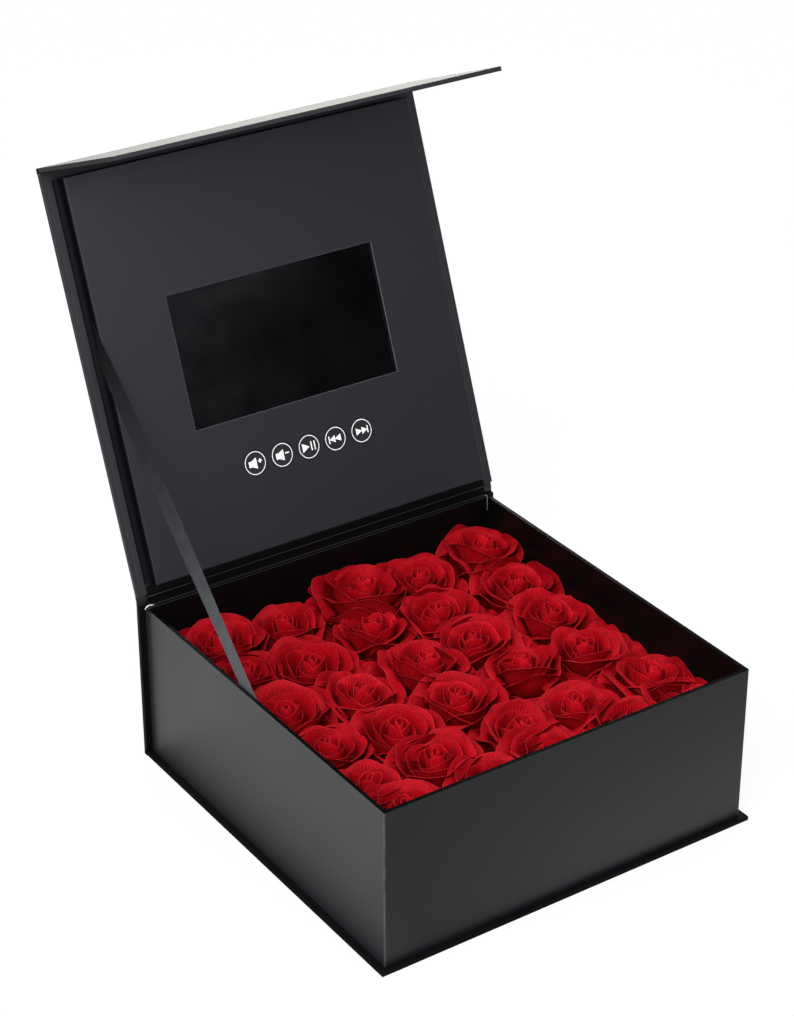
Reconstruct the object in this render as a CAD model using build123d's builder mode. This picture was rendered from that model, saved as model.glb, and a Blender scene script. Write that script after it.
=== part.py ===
"""Keepsake flower box with a video player in its lid, in millimetres.

A rigid book-style box: base, spine, lid and flap boards joined by paper hinges, round a
glued tray that holds rows of fabric roses. A flat panel under the lid hides a 7-inch
display, its boards, battery, speaker and five push buttons.

Origin: middle of the tray, on the underside of the base board. +X right, +Y towards the
hinge, +Z up. The lid stands open, a little past upright, held by its ribbon stay.
"""
import os
from math import cos, hypot, radians, sin, tan

from build123d import *

os.makedirs("parts", exist_ok=True)

# ---------------------------------------------------------------- driving dimensions
# tray
tray_width = 267.0
tray_depth = 270.0
tray_height = 107.5  # above the base board
tray_board = 2.0  # greyboard of the four walls
wrap = 0.3  # printed paper over the tray walls, outside, over the rim and inside
tray_corner = 0.8  # outside radius of the wrapped corners
floor_board = 2.0
fit_gap = 0.2  # a stiff piece dropped between glued ones
soft_gap = 0.3  # between soft or curved pieces and their neighbours

# case: base, spine, lid and flap
case_board = 3.0
overhang = 4.4  # case past the tray at the front and sides
spine_gap = 0.3  # lining paper between the tray's back and the spine
lid_gap = 0.5  # shut lid over the rim
fold_leg = 3.5  # bare hinge strip on each side of a fold
hinge_paper = 0.5
board_round = 0.5  # wrapped edges of the case boards
lean_back = 21.1  # open lid past upright, degrees
flap_lean = 0.6  # flap past square, so that its free end nears the tray
flap_end_gap = 0.8  # shut flap over the base board
liner = 0.3  # lining papers of the flap and of the lid fold
liner_drop = 20.0  # lining glued down between tray and spine

# closing magnets
magnet_radius = 6.0
magnet_thickness = 1.5
magnet_spread = 70.0  # each side of the middle
magnet_rise = 25.0  # shut flap: magnet centre above the flap's free edge
sensor_magnet_radius = 3.0
sensor_magnet_drop = 8.0  # below the rim

# raised panel under the lid
panel_side_gap = 4.2  # shut: panel to the side walls of the tray
panel_back_gap = 3.1
panel_front_gap = 1.6
panel_bay = 7.4  # depth for the player, under the face board
face_board = 2.0
rail_width = 5.0
face_round = 0.6

# display and window
window_width = 154.0
window_height = 87.5
window_offset = 0.7  # window's middle past the panel's, away from the hinge
display_border = 5.5  # display module past the window at the sides
display_margin = 6.25  # and above and below it
display_glass = 1.1
display_tray = 3.0
display_corner = 1.0
pad_inset = 5.0  # foam pad inside the display's outline

# push buttons
button_pitch = 20.35
button_drop = 30.7  # row of centres below the window
button_radius = 8.8
button_gap = 0.2
button_travel = 0.6
button_flange = 1.0  # rim behind the face, past the cap
button_flange_thickness = 0.8
button_stem_radius = 2.5
button_slack = 0.1
switch_side = 6.0
switch_height = 3.1
button_board_margin = 11.0
button_board_height = 16.0

# player boards, battery and speaker
board_thickness = 1.2
board_seat = 0.3  # adhesive film under boards, battery and speaker
main_board_reach = 23.0  # main board past the display's right edge, towards the middle
main_board_height = 46.0
processor_side = 12.0
processor_height = 1.2
memory_width = 10.0
memory_length = 13.0
inductor_side = 5.0
inductor_height = 2.4
chip_spacing = 16.0
battery_width = 90.0
battery_height = 55.0
battery_thickness = 5.0
battery_inset = 12.0
battery_round = 2.0
speaker_radius = 20.0
speaker_height = 6.0
speaker_inset_side = 14.0
speaker_inset_back = 7.0
speaker_rim = 2.0
cone_depth = 2.2
cone_paper = 0.6
sensor_width = 3.0
sensor_height = 1.0
sensor_inset = 3.5

# charging socket, its mouth in the panel's right side
socket_width = 9.0
socket_height = 3.2
socket_depth = 7.5
socket_wall = 0.4
socket_pocket = 6.0
tongue_width = 6.4
tongue_thickness = 0.7
tongue_length = 4.4
socket_clear = 0.4
socket_recess = 0.3  # mouth inside the panel's side face
socket_round = 1.5

# flat flexes and leads
flex_thickness = 0.3
display_flex_width = 20.0
display_flex_tuck = 4.0  # under the display tray
button_flex_width = 6.0
flex_overlap = 3.0  # flex or lead lying on its board
lead_width = 2.4
lead_thickness = 1.0
lead_clear = 2.0

# ribbon stay on the left
ribbon_width = 13.0
ribbon_thickness = 0.4
ribbon_tray_y = 15.0  # where its middle crosses the rim
ribbon_lid_run = 172.0  # where it meets the lid, from the hinge
ribbon_tab = 28.0  # glued to the wall, below the rim
ribbon_clear = 0.1

# flowers
rose_columns = 5
rose_rows = 6
rose_gap = 0.3
rose_drop = 22.0  # rose tops below the rim
rose_height = 38.5
rose_cups = 3  # nested rings of petals round the bud
rose_petals = 5
rose_step = 0.27  # each ring is narrower by this share of the outer one
rose_low_rim = 0.62  # outer ring's rim as a share of the rose's height
rose_throat = 0.45  # how far a ring is hollowed, as a share of its height
rose_lobe = 0.55  # petal's roundness, as a share of its ring's radius
rose_foot = 0.5  # a ring's and a petal's width at the foot, as a share of the rim's
rose_core = 0.75  # solid middle of a ring at its rim, as a share of its radius
petal_thickness = 1.8
rose_turn = 47.0  # each rose is turned on from its neighbour, degrees

# ---------------------------------------------------------------- worked-out sizes
case_width = tray_width + 2 * overhang
rim_z = case_board + tray_height
hinge_y = tray_depth / 2 + spine_gap + case_board
hinge_z = rim_z + lid_gap + case_board
lid_length = hinge_y + tray_depth / 2 + overhang
flap_length = hinge_z - case_board - flap_end_gap

wall = tray_board + 2 * wrap
inner_width = tray_width - 2 * wall
inner_depth = tray_depth - 2 * wall

panel_width = inner_width - 2 * panel_side_gap
panel_near = hinge_y - inner_depth / 2 + panel_back_gap  # panel's hinge-side edge, along the lid
panel_far = hinge_y + inner_depth / 2 - panel_front_gap
panel_length = panel_far - panel_near
panel_middle = (panel_near + panel_far) / 2
face_level = case_board + panel_bay  # back of the face board, from the lid's outside
panel_level = face_level + face_board
bay_width = panel_width - 2 * rail_width
bay_near = panel_near + rail_width
bay_far = panel_far - rail_width

window_middle = panel_middle + window_offset
window_near = window_middle - window_height / 2
display_width = window_width + 2 * display_border
display_height = window_height + 2 * display_margin
display_far = window_middle + display_height / 2
glass_level = face_level - display_glass
tray_level = glass_level - display_tray

button_row = window_near - button_drop
button_names = (
    "button_volume_up",
    "button_volume_down",
    "button_play_pause",
    "button_previous",
    "button_next",
)
button_middle = (len(button_names) - 1) / 2
flange_level = face_level - button_slack - button_flange_thickness
switch_base = case_board + board_seat
switch_level = switch_base + board_thickness
stem_level = switch_level + switch_height + button_travel + button_slack
button_board_width = (len(button_names) - 1) * button_pitch + 2 * button_board_margin

board_level = case_board + board_seat
board_top = board_level + board_thickness
board_start = display_width / 2 - main_board_reach
board_end = bay_width / 2 - fit_gap
main_board_width = board_end - board_start
main_board_x = (board_start + board_end) / 2
main_board_a = bay_far - fit_gap - main_board_height / 2
main_board_near = main_board_a - main_board_height / 2
battery_x = -bay_width / 2 + battery_inset + battery_width / 2
battery_a = (display_far + bay_far) / 2
speaker_x = bay_width / 2 - speaker_inset_side - speaker_radius
speaker_a = bay_near + speaker_inset_back + speaker_radius
sensor_x = main_board_x
sensor_a = main_board_a + main_board_height / 2 - sensor_inset

socket_a = main_board_a
socket_x = panel_width / 2 - socket_recess - socket_depth / 2
socket_level = board_top + socket_height / 2
rail_break = socket_width + 2 * socket_clear

display_flex_x = board_start + lead_clear + display_flex_width / 2
flex_x = display_width / 2 + lead_clear + button_flex_width / 2
lead_x = flex_x + button_flex_width / 2 + lead_clear + lead_width / 2

lean = radians(lean_back)
past_square = radians(flap_lean)

# ---------------------------------------------------------------- planes
# lid: X across, Y along the lid from the hinge, Z inwards from its outside face
lid = Plane(
    origin=(0, hinge_y, hinge_z), x_dir=(1, 0, 0), z_dir=(0, -cos(lean), sin(lean))
)
# side of the lid: X along the lid from the hinge, Y inwards
lid_side = Plane(
    origin=(0, hinge_y, hinge_z), x_dir=(0, sin(lean), cos(lean)), z_dir=(1, 0, 0)
)


def on_side(along, inwards):
    """Y and Z of a point given along the lid from the hinge and inwards from its outside."""
    return (
        hinge_y + along * sin(lean) - inwards * cos(lean),
        hinge_z + along * cos(lean) + inwards * sin(lean),
    )


flap_y, flap_z = on_side(lid_length, 0)
flap_tilt = lean + past_square
# flap: X across, Y from its fold to its free edge, Z inwards
flap = Plane(
    origin=(0, flap_y, flap_z), x_dir=(1, 0, 0), z_dir=(0, -sin(flap_tilt), -cos(flap_tilt))
)
side = Plane.YZ
base_top = Plane.XY.offset(case_board)
lid_inwards = Axis((0, 0, 0), lid.z_dir)
lid_along = Axis((0, 0, 0), lid.y_dir)
flap_inwards = Axis((0, 0, 0), flap.z_dir)
flap_along = Axis((0, 0, 0), flap.y_dir)


def finish(part, name):
    """Labels a finished piece and writes its file."""
    part.label = name
    export_step(part, f"parts/{name}.step")


# ---------------------------------------------------------------- case boards
with BuildPart() as base_board:
    with BuildSketch(Plane.XY):
        with Locations((0, -overhang / 2)):
            Rectangle(case_width, tray_depth + overhang)
    extrude(amount=case_board)
    wrapped = base_board.edges().filter_by(Axis.Y) + base_board.edges().group_by(Axis.Y)[0]
    fillet(wrapped, board_round)
finish(base_board.part, "base_board")

spine_height = hinge_z - 2 * fold_leg
with BuildPart() as spine_board:
    with BuildSketch(Plane.XY.offset(fold_leg)):
        with Locations((0, hinge_y - case_board / 2)):
            Rectangle(case_width, case_board)
    extrude(amount=spine_height)
    fillet(spine_board.edges().filter_by(Axis.Z).group_by(Axis.Y)[-1], board_round)
finish(spine_board.part, "spine_board")

with BuildPart() as lid_board:
    with BuildSketch(lid):
        with Locations((0, lid_length / 2)):
            Rectangle(case_width, lid_length - 2 * fold_leg)
    extrude(amount=case_board)
    fillet(lid_board.edges().filter_by(lid_along), board_round)
finish(lid_board.part, "lid_board")

magnet_b = flap_length - magnet_rise
with BuildPart() as flap_board:
    with BuildSketch(flap):
        with Locations((0, (flap_length + fold_leg) / 2)):
            Rectangle(case_width, flap_length - fold_leg)
    extrude(amount=case_board - liner)
    outside = flap_board.faces().sort_by(flap_inwards)[0].edges()
    fillet(outside.sort_by(flap_along)[1:], board_round)
    with BuildSketch(flap.offset(case_board - liner)):
        with Locations((-magnet_spread, magnet_b), (magnet_spread, magnet_b)):
            Circle(magnet_radius + fit_gap)
    extrude(amount=-magnet_thickness, mode=Mode.SUBTRACT)
finish(flap_board.part, "flap_board")

with BuildPart() as flap_liner:
    with BuildSketch(flap.offset(case_board - liner)):
        with Locations((0, (flap_length + fold_leg) / 2)):
            Rectangle(case_width, flap_length - fold_leg)
    extrude(amount=liner)
finish(flap_liner.part, "flap_liner")

# ---------------------------------------------------------------- paper hinges
# each is a strip of wrap, flush with the outside of the two boards that it joins
with BuildPart() as base_hinge_strip:
    with BuildSketch(side):
        with BuildLine():
            Polyline(
                (tray_depth / 2, 0),
                (hinge_y, 0),
                (hinge_y, fold_leg),
                (hinge_y - hinge_paper, fold_leg),
                (hinge_y - hinge_paper, hinge_paper),
                (tray_depth / 2, hinge_paper),
                close=True,
            )
        make_face()
    extrude(amount=case_width / 2, both=True)
    outer_fold = base_hinge_strip.edges().filter_by(Axis.X).sort_by(Axis.Y)[-3:]
    fillet(outer_fold.sort_by(Axis.Z)[0], hinge_paper)
finish(base_hinge_strip.part, "base_hinge_strip")

fold_inside = hinge_paper * tan(lean / 2)
with BuildPart() as lid_hinge_strip:
    with BuildSketch(side):
        with BuildLine():
            Polyline(
                (hinge_y, hinge_z - fold_leg),
                (hinge_y, hinge_z),
                on_side(fold_leg, 0),
                on_side(fold_leg, hinge_paper),
                (hinge_y - hinge_paper, hinge_z + fold_inside),
                (hinge_y - hinge_paper, hinge_z - fold_leg),
                close=True,
            )
        make_face()
    extrude(amount=case_width / 2, both=True)
finish(lid_hinge_strip.part, "lid_hinge_strip")

# the lining paper runs from between tray and spine, over the fold, to the panel
liner_end = panel_near - soft_gap
with BuildPart() as lid_hinge_liner:
    with BuildSketch(side):
        with BuildLine():
            Polyline(
                (tray_depth / 2, rim_z - liner_drop),
                (tray_depth / 2, rim_z),
                on_side(fold_leg, case_board + liner),
                on_side(liner_end, case_board + liner),
                on_side(liner_end, case_board),
                on_side(fold_leg, case_board),
                (tray_depth / 2 + spine_gap, rim_z),
                (tray_depth / 2 + spine_gap, rim_z - liner_drop),
                close=True,
            )
        make_face()
    extrude(amount=case_width / 2 - overhang, both=True)
finish(lid_hinge_liner.part, "lid_hinge_liner")

fold_share = hinge_paper / (1 - sin(past_square))
flap_start = on_side(lid_length, 0)


def off_fold(along, inwards):
    """Y and Z of a point given from the flap's fold towards its free edge, and inwards."""
    return (
        flap_start[0] - along * cos(flap_tilt) - inwards * sin(flap_tilt),
        flap_start[1] + along * sin(flap_tilt) - inwards * cos(flap_tilt),
    )


with BuildPart() as flap_hinge_strip:
    with BuildSketch(side):
        with BuildLine():
            Polyline(
                on_side(lid_length - fold_leg, 0),
                flap_start,
                off_fold(fold_leg, 0),
                off_fold(fold_leg, hinge_paper),
                on_side(
                    lid_length - fold_share * cos(past_square),
                    fold_share * (1 - sin(past_square)),
                ),
                on_side(lid_length - fold_leg, hinge_paper),
                close=True,
            )
        make_face()
    extrude(amount=case_width / 2, both=True)
finish(flap_hinge_strip.part, "flap_hinge_strip")

# ---------------------------------------------------------------- tray
wall_height = tray_height - wrap
board_outer_width = tray_width - 2 * wrap
board_outer_depth = tray_depth - 2 * wrap
magnet_z = hinge_z - magnet_b
sensor_magnet_z = rim_z - sensor_magnet_drop

with BuildPart() as tray_front_wall:
    with BuildSketch(base_top):
        with Locations((0, -(board_outer_depth - tray_board) / 2)):
            Rectangle(board_outer_width, tray_board)
    extrude(amount=wall_height)
    corners = tray_front_wall.edges().filter_by(Axis.Z).group_by(Axis.Y)[0]
    fillet(corners, tray_corner - wrap)
    wall_front = Plane(origin=(0, -board_outer_depth / 2, 0), x_dir=(1, 0, 0), z_dir=(0, -1, 0))
    with BuildSketch(wall_front):
        with Locations((-magnet_spread, magnet_z), (magnet_spread, magnet_z)):
            Circle(magnet_radius + fit_gap)
        with Locations((sensor_x, sensor_magnet_z)):
            Circle(sensor_magnet_radius + fit_gap)
    extrude(amount=-magnet_thickness, mode=Mode.SUBTRACT)
finish(tray_front_wall.part, "tray_front_wall")

with BuildPart() as tray_back_wall:
    with BuildSketch(base_top):
        with Locations((0, (board_outer_depth - tray_board) / 2)):
            Rectangle(board_outer_width, tray_board)
    extrude(amount=wall_height)
    corners = tray_back_wall.edges().filter_by(Axis.Z).group_by(Axis.Y)[-1]
    fillet(corners, tray_corner - wrap)
finish(tray_back_wall.part, "tray_back_wall")

for side_name, side_sign in (("left", -1), ("right", 1)):
    with BuildPart() as tray_side_wall:
        with BuildSketch(base_top):
            with Locations((side_sign * (board_outer_width - tray_board) / 2, 0)):
                Rectangle(tray_board, board_outer_depth - 2 * tray_board)
        extrude(amount=wall_height)
    finish(tray_side_wall.part, f"tray_{side_name}_wall")

with BuildPart() as tray_wrap:
    with BuildSketch(base_top):
        RectangleRounded(tray_width, tray_depth, tray_corner)
        Rectangle(inner_width, inner_depth, mode=Mode.SUBTRACT)
    extrude(amount=tray_height)
    with BuildSketch(base_top):
        RectangleRounded(board_outer_width, board_outer_depth, tray_corner - wrap)
        Rectangle(inner_width + 2 * wrap, inner_depth + 2 * wrap, mode=Mode.SUBTRACT)
    extrude(amount=wall_height, mode=Mode.SUBTRACT)
finish(tray_wrap.part, "tray_wrap")

with BuildPart() as tray_floor:
    with BuildSketch(base_top):
        Rectangle(inner_width - 2 * fit_gap, inner_depth - 2 * fit_gap)
    extrude(amount=floor_board)
finish(tray_floor.part, "tray_floor")

# ---------------------------------------------------------------- closing magnets
with BuildPart() as flap_magnets:
    with BuildSketch(flap.offset(case_board - liner)):
        with Locations((-magnet_spread, magnet_b), (magnet_spread, magnet_b)):
            Circle(magnet_radius)
    extrude(amount=-magnet_thickness)
finish(flap_magnets.part, "flap_magnets")

with BuildPart() as tray_magnets:
    with BuildSketch(wall_front):
        with Locations((-magnet_spread, magnet_z), (magnet_spread, magnet_z)):
            Circle(magnet_radius)
    extrude(amount=-magnet_thickness)
finish(tray_magnets.part, "tray_magnets")

with BuildPart() as sensor_magnet:
    with BuildSketch(wall_front):
        with Locations((sensor_x, sensor_magnet_z)):
            Circle(sensor_magnet_radius)
    extrude(amount=-magnet_thickness)
finish(sensor_magnet.part, "sensor_magnet")

# ---------------------------------------------------------------- panel rails and face
bay_floor = lid.offset(case_board)

for rail_name, rail_a in (
    ("panel_back_rail", panel_near + rail_width / 2),
    ("panel_front_rail", panel_far - rail_width / 2),
):
    with BuildPart() as cross_rail:
        with BuildSketch(bay_floor):
            with Locations((0, rail_a)):
                Rectangle(panel_width, rail_width)
        extrude(amount=panel_bay)
    finish(cross_rail.part, rail_name)

with BuildPart() as panel_left_rail:
    with BuildSketch(bay_floor):
        with Locations((-(panel_width - rail_width) / 2, panel_middle)):
            Rectangle(rail_width, panel_length - 2 * rail_width)
    extrude(amount=panel_bay)
finish(panel_left_rail.part, "panel_left_rail")

# the right rail is broken for the charging socket, so it is two lengths
with BuildPart() as panel_right_rail:
    with BuildSketch(bay_floor):
        with Locations(((panel_width - rail_width) / 2, panel_middle)):
            Rectangle(rail_width, panel_length - 2 * rail_width)
        with Locations(((panel_width - rail_width) / 2, socket_a)):
            Rectangle(2 * rail_width, rail_break, mode=Mode.SUBTRACT)
    extrude(amount=panel_bay)
finish(panel_right_rail.part, "panel_right_rail")

with BuildPart() as panel_face:
    with BuildSketch(lid.offset(face_level)):
        with Locations((0, panel_middle)):
            Rectangle(panel_width, panel_length)
        with Locations((0, window_middle)):
            Rectangle(window_width, window_height, mode=Mode.SUBTRACT)
        with Locations((0, button_row)):
            with GridLocations(button_pitch, 0, len(button_names), 1):
                Circle(button_radius + button_gap, mode=Mode.SUBTRACT)
    extrude(amount=face_board)
    outline = panel_face.faces().sort_by(lid_inwards)[-1].outer_wire().edges()
    fillet(outline, face_round)
finish(panel_face.part, "panel_face")

# ---------------------------------------------------------------- display
with BuildPart() as display_glass_plate:
    with BuildSketch(lid.offset(glass_level)):
        with Locations((0, window_middle)):
            RectangleRounded(display_width, display_height, display_corner)
    extrude(amount=display_glass)
finish(display_glass_plate.part, "display_glass")

with BuildPart() as display_back_tray:
    with BuildSketch(lid.offset(tray_level)):
        with Locations((0, window_middle)):
            RectangleRounded(display_width, display_height, display_corner)
    extrude(amount=display_tray)
finish(display_back_tray.part, "display_tray")

with BuildPart() as display_pad:
    with BuildSketch(bay_floor):
        with Locations((0, window_middle)):
            Rectangle(display_width - 2 * pad_inset, display_height - 2 * pad_inset)
    extrude(amount=tray_level - case_board)
finish(display_pad.part, "display_pad")

# ---------------------------------------------------------------- player electronics
with BuildPart() as main_board:
    with BuildSketch(lid.offset(board_level)):
        with Locations((main_board_x, main_board_a)):
            Rectangle(main_board_width, main_board_height)
    extrude(amount=board_thickness)
finish(main_board.part, "main_board")

with BuildPart() as board_chips:
    with BuildSketch(lid.offset(board_top)):
        with Locations((main_board_x - chip_spacing, main_board_a)):
            Rectangle(processor_side, processor_side)
        with Locations((main_board_x, main_board_a)):
            Rectangle(memory_width, memory_length)
    extrude(amount=processor_height)
    with BuildSketch(lid.offset(board_top)):
        with Locations((main_board_x, main_board_a)):
            with Locations((chip_spacing, -chip_spacing / 2), (chip_spacing, chip_spacing / 2)):
                Rectangle(inductor_side, inductor_side)
    extrude(amount=inductor_height)
finish(board_chips.part, "board_chips")

with BuildPart() as lid_sensor:
    with BuildSketch(lid.offset(board_top)):
        with Locations((sensor_x, sensor_a)):
            Rectangle(sensor_width, sensor_width)
    extrude(amount=sensor_height)
finish(lid_sensor.part, "lid_sensor")

mouth = Plane(
    origin=lid.from_local_coords((panel_width / 2 - socket_recess, socket_a, socket_level)),
    x_dir=lid.y_dir,
    z_dir=(1, 0, 0),
)
with BuildPart() as charging_socket:
    with BuildSketch(mouth):
        RectangleRounded(socket_width, socket_height, socket_round)
    extrude(amount=-socket_depth)
    with BuildSketch(mouth):
        RectangleRounded(
            socket_width - 2 * socket_wall,
            socket_height - 2 * socket_wall,
            socket_round - socket_wall,
        )
    extrude(amount=-socket_pocket, mode=Mode.SUBTRACT)
    with BuildSketch(mouth.offset(-socket_pocket)):
        Rectangle(tongue_width, tongue_thickness)
    extrude(amount=tongue_length)
finish(charging_socket.part, "charging_socket")

with BuildPart() as battery:
    with BuildSketch(lid.offset(board_level)):
        with Locations((battery_x, battery_a)):
            RectangleRounded(battery_width, battery_height, battery_round)
    extrude(amount=battery_thickness)
finish(battery.part, "battery")

with BuildPart() as speaker_basket:
    with BuildSketch(lid.offset(board_level)):
        with Locations((speaker_x, speaker_a)):
            Circle(speaker_radius)
    extrude(amount=speaker_height)
    with BuildSketch(lid.offset(board_level + speaker_height)):
        with Locations((speaker_x, speaker_a)):
            Circle(speaker_radius - speaker_rim)
    extrude(amount=-cone_depth, mode=Mode.SUBTRACT)
finish(speaker_basket.part, "speaker_basket")

# the paper cone stands in the basket's recess, its foot on the recess floor
cone_floor = board_level + speaker_height - cone_depth
with BuildPart() as speaker_cone:
    with BuildSketch(lid.offset(cone_floor)):
        with Locations((speaker_x, speaker_a)):
            Circle((speaker_radius - speaker_rim) / 2 - cone_paper)
    with BuildSketch(lid.offset(board_level + speaker_height)):
        with Locations((speaker_x, speaker_a)):
            Circle(speaker_radius - speaker_rim - cone_paper)
    loft()
    with BuildSketch(lid.offset(cone_floor + cone_paper)):
        with Locations((speaker_x, speaker_a)):
            Circle((speaker_radius - speaker_rim) / 2 - 2 * cone_paper)
    with BuildSketch(lid.offset(board_level + speaker_height)):
        with Locations((speaker_x, speaker_a)):
            Circle(speaker_radius - speaker_rim - 3 * cone_paper)
    loft(mode=Mode.SUBTRACT)
finish(speaker_cone.part, "speaker_cone")

with BuildPart() as button_board:
    with BuildSketch(lid.offset(switch_base)):
        with Locations((0, button_row)):
            Rectangle(button_board_width, button_board_height)
    extrude(amount=board_thickness)
finish(button_board.part, "button_board")

with BuildPart() as button_switches:
    with BuildSketch(lid.offset(switch_level)):
        with Locations((0, button_row)):
            with GridLocations(button_pitch, 0, len(button_names), 1):
                Rectangle(switch_side, switch_side)
    extrude(amount=switch_height)
finish(button_switches.part, "button_switches")

# ---------------------------------------------------------------- flexes and leads
with BuildPart() as display_flex:
    with BuildSketch(lid_side.offset(display_flex_x - display_flex_width / 2)):
        with BuildLine():
            Polyline(
                (main_board_near + flex_overlap, board_top),
                (display_far - display_flex_tuck, board_top),
                (display_far - display_flex_tuck, tray_level),
                (display_far - display_flex_tuck + flex_thickness, tray_level),
                (display_far - display_flex_tuck + flex_thickness, board_top + flex_thickness),
                (main_board_near + flex_overlap, board_top + flex_thickness),
                close=True,
            )
        make_face()
    extrude(amount=display_flex_width)
finish(display_flex.part, "display_flex")

button_board_end = button_board_width / 2
button_board_far = button_row + button_board_height / 2
display_near = window_middle - display_height / 2
flex_lane = (button_board_far + display_near) / 2  # middle of its run across
flex_from = button_board_end - button_flex_width
half_flex = button_flex_width / 2
with BuildPart() as button_flex:
    with BuildSketch(lid.offset(board_top)):
        with BuildLine():
            Polyline(
                (flex_from - half_flex, button_board_far - flex_overlap),
                (flex_from + half_flex, button_board_far - flex_overlap),
                (flex_from + half_flex, flex_lane - half_flex),
                (flex_x + half_flex, flex_lane - half_flex),
                (flex_x + half_flex, main_board_near + flex_overlap),
                (flex_x - half_flex, main_board_near + flex_overlap),
                (flex_x - half_flex, flex_lane + half_flex),
                (flex_from - half_flex, flex_lane + half_flex),
                close=True,
            )
        make_face()
    extrude(amount=flex_thickness)
finish(button_flex.part, "button_flex")

with BuildPart() as speaker_lead:
    with BuildSketch(lid.offset(board_top)):
        with Locations((lead_x, (speaker_a + main_board_near + flex_overlap) / 2)):
            Rectangle(lead_width, main_board_near + flex_overlap - speaker_a)
        with Locations((speaker_x, speaker_a)):
            Circle(speaker_radius, mode=Mode.SUBTRACT)
    extrude(amount=lead_thickness)
finish(speaker_lead.part, "speaker_lead")

battery_end = battery_x + battery_width / 2
battery_lead_a = battery_a + battery_height / 4
with BuildPart() as battery_lead:
    with BuildSketch(lid.offset(board_top)):
        with Locations(((battery_end + board_start + flex_overlap) / 2, battery_lead_a)):
            Rectangle(board_start + flex_overlap - battery_end, lead_width)
    extrude(amount=lead_thickness)
finish(battery_lead.part, "battery_lead")

# ---------------------------------------------------------------- foam that fills the bay
with BuildPart() as packing_foam:
    with BuildSketch(bay_floor):
        with Locations((0, panel_middle)):
            Rectangle(bay_width - 2 * fit_gap, bay_far - bay_near - 2 * fit_gap)
        with Locations((0, window_middle)):
            Rectangle(
                display_width + 2 * soft_gap, display_height + 2 * soft_gap, mode=Mode.SUBTRACT
            )
        with Locations((main_board_x, main_board_a)):
            Rectangle(
                main_board_width + 2 * soft_gap,
                main_board_height + 2 * soft_gap,
                mode=Mode.SUBTRACT,
            )
        with Locations((bay_width / 2, socket_a)):
            Rectangle(2 * socket_depth, rail_break, mode=Mode.SUBTRACT)
        with Locations((battery_x, battery_a)):
            Rectangle(
                battery_width + 2 * soft_gap, battery_height + 2 * soft_gap, mode=Mode.SUBTRACT
            )
        with Locations((speaker_x, speaker_a)):
            Circle(speaker_radius + soft_gap, mode=Mode.SUBTRACT)
        with Locations((0, button_row)):
            Rectangle(
                button_board_width + 2 * soft_gap,
                2 * (button_radius + button_flange + soft_gap),
                mode=Mode.SUBTRACT,
            )
        with Locations((display_flex_x, main_board_near)):
            Rectangle(
                display_flex_width + 2 * soft_gap,
                2 * (main_board_near - display_far),
                mode=Mode.SUBTRACT,
            )
        with Locations((flex_from, (button_row + flex_lane) / 2)):
            Rectangle(
                button_flex_width + 2 * soft_gap,
                flex_lane - button_row + button_flex_width + 2 * soft_gap,
                mode=Mode.SUBTRACT,
            )
        with Locations(((flex_from + flex_x) / 2, flex_lane)):
            Rectangle(
                flex_x - flex_from + button_flex_width,
                button_flex_width + 2 * soft_gap,
                mode=Mode.SUBTRACT,
            )
        with Locations((flex_x, (flex_lane + main_board_near) / 2)):
            Rectangle(
                button_flex_width + 2 * soft_gap,
                main_board_near - flex_lane + button_flex_width + 2 * soft_gap,
                mode=Mode.SUBTRACT,
            )
        with Locations((lead_x, (speaker_a + main_board_near) / 2)):
            Rectangle(lead_width + 2 * soft_gap, main_board_near - speaker_a, mode=Mode.SUBTRACT)
        with Locations(((battery_end + board_start) / 2, battery_lead_a)):
            Rectangle(board_start - battery_end, lead_width + 2 * soft_gap, mode=Mode.SUBTRACT)
    extrude(amount=panel_bay)
finish(packing_foam.part, "packing_foam")

# ---------------------------------------------------------------- push buttons
for place, button_name in enumerate(button_names):
    button_x = (place - button_middle) * button_pitch
    with BuildPart() as button:
        with BuildSketch(lid.offset(flange_level)):
            with Locations((button_x, button_row)):
                Circle(button_radius + button_flange)
        extrude(amount=button_flange_thickness)
        with BuildSketch(lid.offset(flange_level + button_flange_thickness)):
            with Locations((button_x, button_row)):
                Circle(button_radius)
        extrude(amount=panel_level - flange_level - button_flange_thickness)
        with BuildSketch(lid.offset(flange_level)):
            with Locations((button_x, button_row)):
                Circle(button_stem_radius)
        extrude(amount=stem_level - flange_level)
    finish(button.part, button_name)

# ---------------------------------------------------------------- ribbon stay
wall_face_x = -inner_width / 2
ribbon_lid_y, ribbon_lid_z = on_side(ribbon_lid_run, case_board)
ribbon_run = hypot(ribbon_lid_y - ribbon_tray_y, ribbon_lid_z - rim_z)
ribbon_top_x = -panel_width / 2 - ribbon_clear - ribbon_thickness
ribbon_along = Vector(0, ribbon_lid_y - ribbon_tray_y, ribbon_lid_z - rim_z).normalized()
ribbon_section = Plane(
    origin=(0, ribbon_tray_y, rim_z),
    x_dir=ribbon_along,
    z_dir=ribbon_along.cross(Vector(1, 0, 0)),
)
with BuildPart() as ribbon_stay:
    with BuildSketch(ribbon_section):
        with BuildLine():
            Polyline(
                (-ribbon_tab, wall_face_x),
                (0, wall_face_x),
                (ribbon_run, ribbon_top_x),
                (ribbon_run + ribbon_width, ribbon_top_x),
                (ribbon_run + ribbon_width, ribbon_top_x + ribbon_thickness),
                (ribbon_run, ribbon_top_x + ribbon_thickness),
                (0, wall_face_x + ribbon_thickness),
                (-ribbon_tab, wall_face_x + ribbon_thickness),
                close=True,
            )
        make_face()
    extrude(amount=ribbon_width / 2, both=True)
    split(bisect_by=lid.offset(case_board), keep=Keep.TOP)
finish(ribbon_stay.part, "ribbon_stay")

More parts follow.
